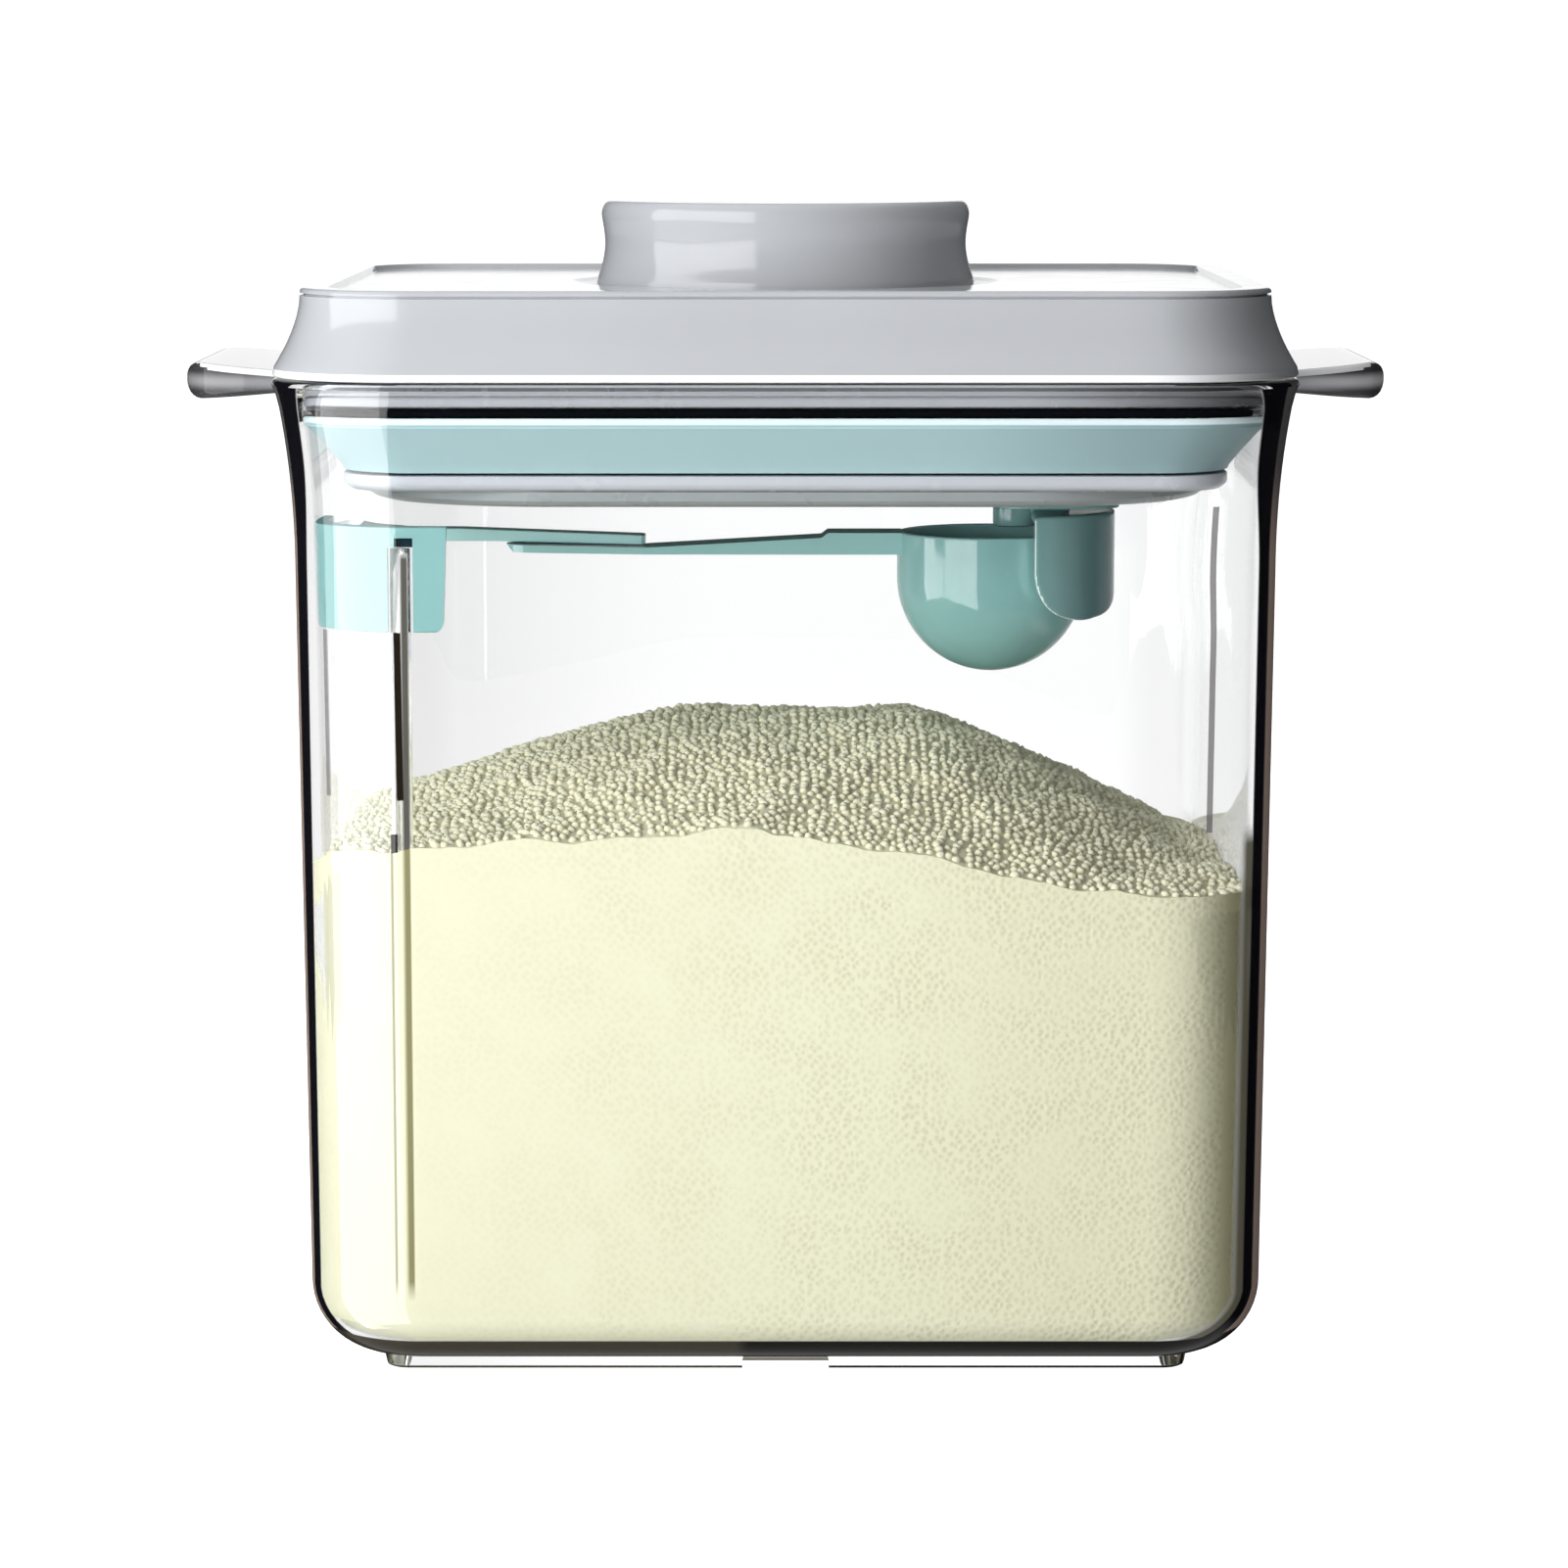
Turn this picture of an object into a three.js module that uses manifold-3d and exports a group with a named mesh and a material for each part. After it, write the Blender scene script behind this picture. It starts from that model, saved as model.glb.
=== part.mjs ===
// A clear rectangular milk powder container with an airtight push-button lid. It is over half full of powder, with a
// scoop held under the lid and a leveller at the left end. Millimetres, +Z up. The origin is the middle of the
// footprint at the height of the table, +X points to the right grip and -Y to the front.

import * as THREE from "three";
import { mergeVertices } from "three/addons/utils/BufferGeometryUtils.js";
import Module from "manifold-3d";

const wasm = await Module();
wasm.setup();

// Driving dimensions
const bodyWidth = 144.9; // outside, just under the flare
const bodyDepth = 115.9;
const bodyCorner = 17.5; // outside radius in plan
const draft = 1.05; // what each side loses from the flare down to the base
const wall = 2.8;
const flareOut = 2.95; // what each side gains from the flare up to the rim
const flareFoot = 120; // height where the flare starts
const rimTop = 148.8;
const rimHeight = 4.2; // of the band round the rim
const baseTop = 5.6; // inside floor
const baseUnder = 2.6; // underside of the base, inside the foot ring
const baseRound = 10.5; // outside radius where wall meets base
const innerRound = 5.5; // inside radius where wall meets floor
const footWidth = 120.5;
const footDepth = 90;
const footCorner = 3.5;
const footRing = 2.6;
const footNotch = 13; // width of the drain notch at front and back
const gripReach = 91.2; // half the width over the grips
const gripHalfLength = 26;
const gripLow = 144.4; // underside of a grip's tip
const gripHigh = 149.9; // the tips stand a little higher than the roots
const lidTop = 161.3; // floor of the shallow recess on the lid
const lidEdgeLoss = 4; // what each side of the lid loses from its lower edge to its top
const recessDepth = 0.7;
const recessInset = 4;
const mouthHalf = 71.2; // inside half width of the mouth
const buttonRadius = 29.2;
const buttonTop = 173.8;
const buttonTravel = 11.5;
const wellClearance = 0.6;
const wellBevel = 3.4; // width of the bevel round the well
const gap = 0.3; // between pieces that touch
const bowlRadius = 14.6;
const bowlX = 32; // where the scoop's bowl hangs
const bowlRim = 122.7;
const bowlWall = 1.4;
const levellerTop = 128;
const levellerHeight = 15.4;
const ribX = -55.8; // the guide rib on the front wall, near the left corner
const ribWidth = 2.9;
const ribProud = 1.3;
const ribTop = 124.9;
const neckTop = 145.4; // floor of the button's well
const seatTop = 144; // height up to which the mouth narrows
const gasketTop = 144.1;
const gasketBottom = 135.55;
const coreHalf = 62.8; // half width of the core inside the gasket
const coreCorner = 9.5;
const lidBaseThick = 2.2;
const lidBaseHalf = 65.1;
const lidBaseCorner = 9.9;
const plateBottom = 130.4; // underside of the lid's lowest plate
const bladeEnd = -21.8; // straight end of the leveller's arm
const handleLow = 119.2; // underside of the scoop's handle

const sideLess = (bodyWidth - bodyDepth) / 2; // the plan is this much shorter in Y on each side
const cornerSteps = 6;

const clearPlastic = new THREE.MeshStandardMaterial({
  color: 0xf2f4f5,
  roughness: 0.04,
  metalness: 0,
  transparent: true,
  opacity: 0.3,
});
const greyGloss = new THREE.MeshStandardMaterial({ color: 0xc6cad0, roughness: 0.18, metalness: 0 });
const greyInner = new THREE.MeshStandardMaterial({ color: 0xb4b8be, roughness: 0.3, metalness: 0 });
const blackInner = new THREE.MeshStandardMaterial({ color: 0x0b0e12, roughness: 0.3, metalness: 0 });
const silicone = new THREE.MeshStandardMaterial({ color: 0x9fcfcd, roughness: 0.5, metalness: 0 });
const tealPlastic = new THREE.MeshStandardMaterial({ color: 0x86bcb9, roughness: 0.25, metalness: 0 });
const powderCream = new THREE.MeshStandardMaterial({ color: 0xf1f0d2, roughness: 0.95, metalness: 0 });

// Points of a rounded rectangle, anticlockwise from the right side
function outline(halfWidth, halfDepth, radius) {
  const points = [];
  const corners = [
    [1, 1],
    [-1, 1],
    [-1, -1],
    [1, -1],
  ];
  corners.forEach(([sx, sy], quarter) => {
    for (let i = 0; i <= cornerSteps; i++) {
      const angle = ((quarter + i / cornerSteps) * Math.PI) / 2;
      const x = sx * (halfWidth - radius) + radius * Math.cos(angle);
      const y = sy * (halfDepth - radius) + radius * Math.sin(angle);
      points.push(new THREE.Vector2(x, y));
    }
  });
  return points;
}

// A closed solid through level rounded rectangles, from the lowest up. Each section is [z, half width, radius], and
// its half depth is smaller than its half width by the same amount everywhere
function loft(sections, less = sideLess) {
  const rings = sections.map(([z, half, radius]) =>
    outline(half, half - less, radius).map((p) => [p.x, p.y, z]),
  );
  const count = rings[0].length;
  const corners = rings.flat();
  const index = [];
  for (let ring = 0; ring + 1 < rings.length; ring++) {
    for (let i = 0; i < count; i++) {
      const a = ring * count + i;
      const b = ring * count + ((i + 1) % count);
      index.push(a, b, b + count, a, b + count, a + count);
    }
  }
  const bottom = corners.length;
  corners.push([0, 0, sections[0][0]], [0, 0, sections.at(-1)[0]]);
  const last = (rings.length - 1) * count;
  for (let i = 0; i < count; i++) {
    const next = (i + 1) % count;
    index.push(bottom, next, i, bottom + 1, last + i, last + next);
  }
  const made = new THREE.BufferGeometry();
  made.setAttribute("position", new THREE.Float32BufferAttribute(corners.flat(), 3));
  made.setIndex(index);
  return made;
}

// Sections of a rounded lower edge, from the flat underside up to the upright wall
function roundedFoot(low, half, edgeRadius, corner, steps) {
  const sections = [];
  for (let i = 0; i <= steps; i++) {
    const turn = ((i / steps) * Math.PI) / 2;
    const inward = edgeRadius * (1 - Math.sin(turn));
    sections.push([low + edgeRadius * (1 - Math.cos(turn)), half - inward, corner - inward]);
  }
  return sections;
}

// A closed geometry as a solid that can be cut and joined
function solid(geometry) {
  const bare = geometry.index ? geometry.toNonIndexed() : geometry.clone();
  bare.deleteAttribute("normal");
  bare.deleteAttribute("uv");
  const merged = mergeVertices(bare, 1e-3);
  return new wasm.Manifold(
    new wasm.Mesh({
      numProp: 3,
      vertProperties: new Float32Array(merged.attributes.position.array),
      triVerts: new Uint32Array(merged.index.array),
    }),
  );
}

// A solid as a geometry for a mesh
function geometryOf(made) {
  const mesh = made.getMesh();
  const geometry = new THREE.BufferGeometry();
  geometry.setAttribute("position", new THREE.BufferAttribute(new Float32Array(mesh.vertProperties), 3));
  geometry.setIndex(new THREE.BufferAttribute(new Uint32Array(mesh.triVerts), 1));
  geometry.computeVertexNormals();
  return geometry;
}

function meshOf(name, geometry, material) {
  const mesh = new THREE.Mesh(geometry, material);
  mesh.name = name;
  return mesh;
}

// A box by its lowest and highest corners
function box(low, high) {
  const size = high.map((value, i) => value - low[i]);
  const made = new THREE.BoxGeometry(...size);
  made.translate(...low.map((value, i) => value + size[i] / 2));
  return made;
}

// A flat shape in X and Z, pushed along Y from -half to +half
function pushedAlongY(shape, half, curveSegments = 8) {
  const made = new THREE.ExtrudeGeometry(shape, { depth: 2 * half, bevelEnabled: false, curveSegments });
  made.rotateX(Math.PI / 2);
  made.translate(0, half, 0);
  return made;
}

// A flat shape in X and Y, pushed up from one height to another
function pushedUp(shape, from, to, curveSegments = 8) {
  const made = new THREE.ExtrudeGeometry(shape, { depth: to - from, bevelEnabled: false, curveSegments });
  made.translate(0, 0, from);
  return made;
}

// A turned solid about an upright axis. The profile runs from the axis, round the section and back to the axis
function turned(profile, x = 0, sides = 40) {
  const points = profile.map(([radius, z]) => new THREE.Vector2(radius, z));
  const made = new THREE.LatheGeometry(points, sides);
  made.rotateX(Math.PI / 2);
  made.translate(x, 0, 0);
  return made;
}

function cylinder(radius, from, to, x = 0, sides = 40) {
  const profile = [
    [0, from],
    [radius, from],
    [radius, to],
    [0, to],
  ];
  return turned(profile, x, sides);
}

// Half width of the jar's outside at a height, above the rounding of its base
function outsideHalf(z) {
  const straight = bodyWidth / 2 - draft * (1 - Math.min(z, flareFoot) / flareFoot);
  const up = Math.max(0, (z - flareFoot) / (rimTop - flareFoot));
  return straight + flareOut * up ** 2.2;
}

// Half width of the jar's inside at a height
function insideHalf(z) {
  const throat = bodyWidth / 2 - wall;
  const straight = throat - draft * (1 - Math.min(z, flareFoot) / flareFoot);
  const up = Math.max(0, Math.min(1, (z - flareFoot) / (seatTop - flareFoot)));
  return straight + (mouthHalf - throat) * up ** 2;
}

// Both grips, cut from one bar: rounded in plan, with tips thicker than their roots
function grips() {
  const plan = new THREE.Shape(outline(gripReach, gripHalfLength, 11));
  const root = 76; // where a grip leaves the wall
  const neck = 84; // where it is thinnest
  const tip = gripReach;
  const rootLow = gripLow + 1.4;
  const rootHigh = gripHigh - 1.4;
  const tipMiddle = (gripLow + gripHigh) / 2;
  const edge = new THREE.Shape();
  edge.moveTo(-tip + 2.4, gripLow);
  edge.quadraticCurveTo(-neck, rootLow, -root, rootLow);
  edge.lineTo(root, rootLow);
  edge.quadraticCurveTo(neck, rootLow, tip - 2.4, gripLow);
  edge.quadraticCurveTo(tip + 0.6, gripLow, tip, tipMiddle);
  edge.quadraticCurveTo(tip - 0.2, gripHigh, tip - 3, gripHigh);
  edge.quadraticCurveTo(neck, rootHigh, root, rootHigh);
  edge.lineTo(-root, rootHigh);
  edge.quadraticCurveTo(-neck, rootHigh, -tip + 3, gripHigh);
  edge.quadraticCurveTo(-tip + 0.2, gripHigh, -tip, tipMiddle);
  edge.quadraticCurveTo(-tip - 0.6, gripLow, -tip + 2.4, gripLow);
  return solid(pushedUp(plan, 140, 152)).intersect(solid(pushedAlongY(edge, gripHalfLength + 2, 5)));
}

// The guide rib on the front wall, or the room that it needs when it is grown on each side
function rib(grown = 0) {
  const wallFoot = insideHalf(baseTop + innerRound) - sideLess;
  const wallTop = insideHalf(ribTop) - sideLess;
  const inward = ribProud + grown;
  const outward = grown ? 4 : 0.6;
  const footAt = (across) => baseTop + 7.6 + across - 1.5 * grown;
  const shape = new THREE.Shape();
  shape.moveTo(wallFoot + outward, footAt(-outward));
  shape.lineTo(wallTop + outward, ribTop + grown);
  shape.lineTo(wallTop - inward, ribTop + grown);
  shape.lineTo(wallFoot - inward, footAt(inward));
  const width = ribWidth + 2 * grown;
  const made = new THREE.ExtrudeGeometry(shape, { depth: width, bevelEnabled: false });
  // The shape's X becomes Y and its Y becomes Z, and then it turns to the front
  made.applyMatrix4(new THREE.Matrix4().set(0, 0, 1, 0, 1, 0, 0, 0, 0, 1, 0, 0, 0, 0, 0, 1));
  made.rotateZ(Math.PI);
  made.translate(ribX + width / 2, 0, 0);
  return solid(made);
}

// The clear jar: walls, base and foot ring, the flared rim with its two grips, and the guide rib
function jar() {
  const outside = roundedFoot(baseUnder, outsideHalf(baseRound), baseRound, bodyCorner, 5);
  const bandFoot = rimTop - rimHeight;
  for (const z of [flareFoot, 126, 131, 136, 140.5, bandFoot]) {
    const half = outsideHalf(z);
    outside.push([z, half, bodyCorner + half - bodyWidth / 2]);
  }
  const rimHalf = outsideHalf(rimTop) + 0.2;
  const rimCorner = bodyCorner + flareOut;
  outside.push([bandFoot + 0.4, rimHalf, rimCorner]);
  outside.push([rimTop - 0.6, rimHalf, rimCorner], [rimTop, rimHalf - 0.6, rimCorner - 0.6]);

  const innerCorner = bodyCorner - wall;
  const inside = roundedFoot(baseTop, insideHalf(innerRound), innerRound, innerCorner, 4);
  for (const z of [flareFoot, 127, 133, 138.5, seatTop, rimTop + 5]) {
    inside.push([z, insideHalf(z), innerCorner + 0.5]);
  }

  const footLess = (footWidth - footDepth) / 2;
  const foot = [
    [0, footWidth / 2 - 0.5, footCorner - 0.5],
    [0.5, footWidth / 2, footCorner],
    [baseUnder + 1, footWidth / 2 + 0.6, footCorner + 0.6],
  ];
  const footHollow = [
    [-1, footWidth / 2 - footRing, footCorner - footRing],
    [baseUnder, footWidth / 2 - footRing - 0.4, footCorner - footRing],
  ];
  const notch = box([-footNotch / 2, -100, -1], [footNotch / 2, 100, 1.3]);
  return solid(loft(outside))
    .add(solid(loft(foot, footLess)))
    .subtract(solid(loft(footHollow, footLess)))
    .add(grips())
    .subtract(solid(loft(inside)))
    .subtract(solid(notch))
    .add(rib());
}

// A fixed series of numbers from 0 to 1, the same each time
function series(seed) {
  let state = seed;
  return () => {
    state = (state * 1664525 + 1013904223) % 4294967296;
    return state / 4294967296;
  };
}

// The heap of powder: a ridge from left to right that is level in the middle and lower at both ends, and the line
// that it makes on the front wall
const ridge = { top: 92.9, left: -15, right: 18, y: 3, leftSlope: 0.32, rightSlope: 0.5, ease: 8.5 };
const frontLine = { x: -3, top: 83.6, leftSlope: 0.055, rightSlope: 0.185, rightFall: 9.9 };
const backFall = 9; // how much lower the powder lies on the back wall than on the ridge

// Height of the heap at a place
function powderHeight(x, y) {
  const eased = (out) => Math.hypot(Math.max(0, out), ridge.ease) - ridge.ease;
  const high = ridge.top - ridge.leftSlope * eased(ridge.left - x) - ridge.rightSlope * eased(x - ridge.right);
  const along = x - frontLine.x;
  const frontFall =
    along < 0 ? -frontLine.leftSlope * along : Math.min(frontLine.rightSlope * along, frontLine.rightFall);
  const front = frontLine.top - frontFall;
  const back = high - backFall;
  const half = bodyDepth / 2 - wall;
  const away = y < ridge.y ? (ridge.y - y) / (half + ridge.y) : (y - ridge.y) / (half - ridge.y);
  const share = 1 - Math.cos((Math.min(1, away) * Math.PI) / 2);
  const low = Math.min(high, y < ridge.y ? front : back);
  const rolls = 0.35 * Math.sin(0.21 * x + 0.4) * Math.cos(0.17 * y) + 0.3 * Math.sin(0.43 * x - 0.31 * y + 1);
  return high + (low - high) * share + rolls;
}

// The powder fills the jar from wall to wall, and its top carries the marks of small clumps
function powder() {
  const columns = 42;
  const rows = 33;
  const halfX = bodyWidth / 2 + 1;
  const halfY = bodyDepth / 2 + 1;
  const under = -20;
  const clump = 0.7;
  const draw = series(7);
  const corners = [];
  const index = [];
  for (let j = 0; j <= rows; j++) {
    for (let i = 0; i <= columns; i++) {
      const x = -halfX + (2 * halfX * i) / columns;
      const y = -halfY + (2 * halfY * j) / rows;
      corners.push([x, y, powderHeight(x, y) + clump * (draw() - 0.5)]);
    }
  }
  const stride = columns + 1;
  for (let j = 0; j < rows; j++) {
    for (let i = 0; i < columns; i++) {
      const a = j * stride + i;
      index.push(a, a + 1, a + 1 + stride, a, a + 1 + stride, a + stride);
    }
  }
  // A skirt and a point far below close the block
  const run = (count, at) => Array.from({ length: count }, (_, i) => at(i));
  const edge = [
    ...run(columns, (i) => i),
    ...run(rows, (j) => j * stride + columns),
    ...run(columns, (i) => rows * stride + columns - i),
    ...run(rows, (j) => (rows - j) * stride),
  ];
  const skirt = corners.length;
  for (const at of edge) {
    corners.push([corners[at][0], corners[at][1], under]);
  }
  const middle = corners.length;
  corners.push([0, 0, under]);
  edge.forEach((at, i) => {
    const next = (i + 1) % edge.length;
    index.push(at, skirt + i, skirt + next, at, skirt + next, edge[next]);
    index.push(middle, skirt + next, skirt + i);
  });
  const block = new THREE.BufferGeometry();
  block.setAttribute("position", new THREE.Float32BufferAttribute(corners.flat(), 3));
  block.setIndex(index);

  const corner = bodyCorner - wall - gap;
  const fill = roundedFoot(baseTop + gap, insideHalf(innerRound) - gap, innerRound - gap, corner, 4);
  fill.push([110, insideHalf(110) - gap, corner]);
  return solid(loft(fill)).intersect(solid(block)).subtract(rib(gap));
}

// The lid's cover: flared sides, a rounded upper edge, a shallow recess on top, and the round well of the button with
// a bevel round it
function lidCover() {
  const bottom = rimTop + gap;
  const half = bodyWidth / 2 + flareOut;
  const corner = bodyCorner + 2.4;
  const top = lidTop + recessDepth;
  const sections = [
    [bottom, half - 0.9, corner - 0.8],
    [bottom + 0.35, half - 0.25, corner - 0.2],
    [bottom + 1, half, corner],
  ];
  for (const share of [0.25, 0.45, 0.65, 0.85]) {
    const inward = lidEdgeLoss * (1 - (1 - share) ** 1.7);
    sections.push([bottom + 1 + (top - bottom - 2.2) * share, half - inward, corner - inward * 0.5]);
  }
  const topHalf = half - lidEdgeLoss;
  sections.push([top - 1, topHalf - 0.1, corner - 2.4]);
  sections.push([top - 0.3, topHalf - 0.5, corner - 2.8]);
  sections.push([top, topHalf - 1.3, corner - 3.6]);
  const recess = [
    [lidTop, topHalf - recessInset - 0.6, corner - 7.4],
    [lidTop + 2, topHalf - recessInset + 0.6, corner - 6.2],
  ];
  const wellRadius = buttonRadius + wellClearance;
  const well = [
    [0, bottom - 2],
    [wellRadius, bottom - 2],
    [wellRadius, lidTop - 1],
    [wellRadius + wellBevel, lidTop],
    [wellRadius + wellBevel, lidTop + 3],
    [0, lidTop + 3],
  ];
  return solid(loft(sections)).subtract(solid(loft(recess))).subtract(solid(turned(well)));
}

// The pale collar that enters the mouth, with one groove round it
function lidCollar() {
  const half = mouthHalf - 0.4;
  const corner = bodyCorner - wall;
  const groove = 0.8; // depth
  const grooveAt = 147.35;
  const sections = [
    [neckTop + gap, half - 0.5, corner - 0.5],
    [neckTop + gap + 0.4, half, corner],
    [grooveAt - 0.25, half, corner],
    [grooveAt - 0.2, half - groove, corner - groove],
    [grooveAt + 0.2, half - groove, corner - groove],
    [grooveAt + 0.25, half, corner],
    [rimTop, half, corner],
  ];
  const well = cylinder(buttonRadius + wellClearance, neckTop - 2, rimTop + 2);
  return solid(loft(sections)).subtract(solid(well));
}

// The black neck above the gasket, and the core that carries the gasket
function lidNeck() {
  const neckHalf = mouthHalf - 2.6;
  const shoulder = gasketTop + 0.2;
  return loft([
    [gasketBottom, coreHalf, coreCorner],
    [shoulder - 0.02, coreHalf, coreCorner],
    [shoulder, neckHalf, bodyCorner - 5],
    [neckTop, neckHalf, bodyCorner - 5],
  ]);
}

// The soft seal: a ring whose lip leans out to the wall
function gasket() {
  const lip = mouthHalf - gap;
  const foot = lip - 5.5;
  const corner = bodyCorner - wall;
  const outer = [
    [gasketBottom, foot - 0.3, corner - 4.2],
    [gasketBottom + 0.6, foot, corner - 4],
    [gasketTop - 1.2, lip - 0.1, corner],
    [gasketTop - 0.9, lip, corner],
    [gasketTop - 0.3, lip, corner],
    [gasketTop, lip - 0.5, corner - 0.4],
  ];
  const hollow = [
    [gasketBottom - 2, coreHalf + gap, coreCorner + gap],
    [gasketTop + 2, coreHalf + gap, coreCorner + gap],
  ];
  return solid(loft(outer)).subtract(solid(loft(hollow)));
}

// The pale plate under the gasket
function lidBase() {
  const top = gasketBottom - gap;
  const bottom = top - lidBaseThick;
  return loft([
    [bottom, lidBaseHalf - 0.9, lidBaseCorner - 0.9],
    [bottom + 0.5, lidBaseHalf - 0.1, lidBaseCorner - 0.1],
    [top - 0.3, lidBaseHalf, lidBaseCorner],
    [top, lidBaseHalf - 0.3, lidBaseCorner - 0.3],
  ]);
}

// The lowest plate of the lid, with large rounded corners
function lidPlate() {
  const half = lidBaseHalf - 1;
  const corner = 30.3;
  return loft([
    [plateBottom, half - 1.7, corner - 1.7],
    [plateBottom + 0.5, half - 0.5, corner - 0.5],
    [gasketBottom - lidBaseThick - 2 * gap, half, corner],
  ]);
}

// The push button: a cup with a hollow waist, shown raised
function button() {
  const skirt = neckTop + 0.5 + buttonTravel;
  const edge = 1.8; // rounding of its upper edge
  const waist = [];
  for (let i = 0; i <= 5; i++) {
    const share = i / 5;
    const z = lidTop + (buttonTop - edge - 0.4 - lidTop) * share;
    waist.push([buttonRadius - 0.8 * share - 0.9 * Math.sin(Math.PI * share) ** 1.2, z]);
  }
  const inner = buttonRadius - 3;
  return turned([
    [0, buttonTop - 2.4],
    [inner - 0.8, buttonTop - 2.4],
    [inner, skirt],
    [buttonRadius - 0.3, skirt],
    [buttonRadius, skirt + 0.3],
    ...waist,
    [buttonRadius - 0.75, buttonTop - 1.1],
    [buttonRadius - 1.05, buttonTop - 0.35],
    [buttonRadius - edge, buttonTop],
    [0, buttonTop],
  ]);
}

// Under the lid: a foot plate, a post, and a clip that closes round the right side of the scoop's bowl
function scoopHolder() {
  const footBottom = 127.4;
  const clipTop = 126.4;
  const clipBottom = 109.8;
  const clipLeft = 38;
  const clipRoof = 124.8;
  const clipOuter = bowlRadius + 4.7;
  const clipInner = bowlRadius + 1;
  const right = bowlX + clipOuter + 1;

  // Seen from the front, the clip's lower corners are rounded, the left one more
  const edge = bowlX + clipOuter;
  const side = new THREE.Shape();
  side.moveTo(right, clipTop);
  side.lineTo(clipLeft, clipTop);
  side.lineTo(clipLeft, clipBottom + 7.4);
  side.quadraticCurveTo(clipLeft + 0.6, clipBottom + 0.4, clipLeft + 8, clipBottom);
  side.lineTo(edge - 3.2, clipBottom + 0.3);
  side.quadraticCurveTo(edge - 0.4, clipBottom + 0.6, edge, clipBottom + 3.2);
  side.lineTo(right, clipBottom + 3.2);
  const clip = solid(cylinder(clipOuter, clipBottom - 1, clipTop, bowlX, 44))
    .subtract(solid(cylinder(clipInner, clipBottom - 2, clipRoof, bowlX, 44)))
    .intersect(solid(pushedAlongY(side, clipOuter + 2, 6)));

  const plateLow = 31.6;
  const plate = new THREE.Shape(outline((edge - plateLow) / 2, 15, 5));
  const plateSolid = pushedUp(plate, footBottom, plateBottom - gap);
  plateSolid.translate((plateLow + edge) / 2, 0, 0);
  const post = cylinder(3.3, bowlRim + 0.8, footBottom + 1, 35.6, 20);
  const web = box([clipLeft, -4, clipRoof + 0.4], [clipLeft + 6, 4, footBottom + 1]);
  return clip.add(solid(plateSolid)).add(solid(post)).add(solid(web));
}

// The scoop: a round bowl with a half-ball bottom, and a flat handle that thins towards its tip
function scoop() {
  const ballCentre = bowlRim - 7.4;
  const steps = 7;
  const innerRadius = bowlRadius - bowlWall;
  const arc = (radius) => {
    const points = [[0, ballCentre - radius]];
    for (let i = 1; i <= steps; i++) {
      const turn = ((i / steps) * Math.PI) / 2;
      points.push([radius * Math.sin(turn), ballCentre - radius * Math.cos(turn)]);
    }
    return points;
  };
  const bowl = turned(
    [
      ...arc(bowlRadius),
      [bowlRadius, bowlRim - 0.3],
      [bowlRadius - 0.3, bowlRim],
      [innerRadius + 0.3, bowlRim],
      [innerRadius, bowlRim - 0.3],
      ...arc(innerRadius).reverse(),
    ],
    bowlX,
    32,
  );
  const tip = -43.5;
  const root = bowlX - innerRadius - 0.7;
  const step = 6.6; // where the handle's top steps up to the rim's height
  const side = new THREE.Shape();
  side.moveTo(tip + 1.2, handleLow + 0.3);
  side.lineTo(bladeEnd, handleLow);
  side.lineTo(root, handleLow);
  side.lineTo(root, bowlRim);
  side.lineTo(step, bowlRim);
  side.lineTo(step - 1, bowlRim - 0.8);
  side.lineTo(bladeEnd, handleLow + 1.1);
  side.lineTo(tip, handleLow + 1.5);
  const rootHalf = 4.6;
  const tipHalf = 4;
  const plan = new THREE.Shape();
  plan.moveTo(bowlX, -rootHalf);
  plan.lineTo(bowlX, rootHalf);
  plan.lineTo(tip + tipHalf, tipHalf);
  plan.absarc(tip + tipHalf, 0, tipHalf, Math.PI / 2, (3 * Math.PI) / 2, false);
  const handle = solid(pushedAlongY(side, 6)).intersect(solid(pushedUp(plan, 110, 130, 6)));
  return solid(bowl).add(handle);
}

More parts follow.
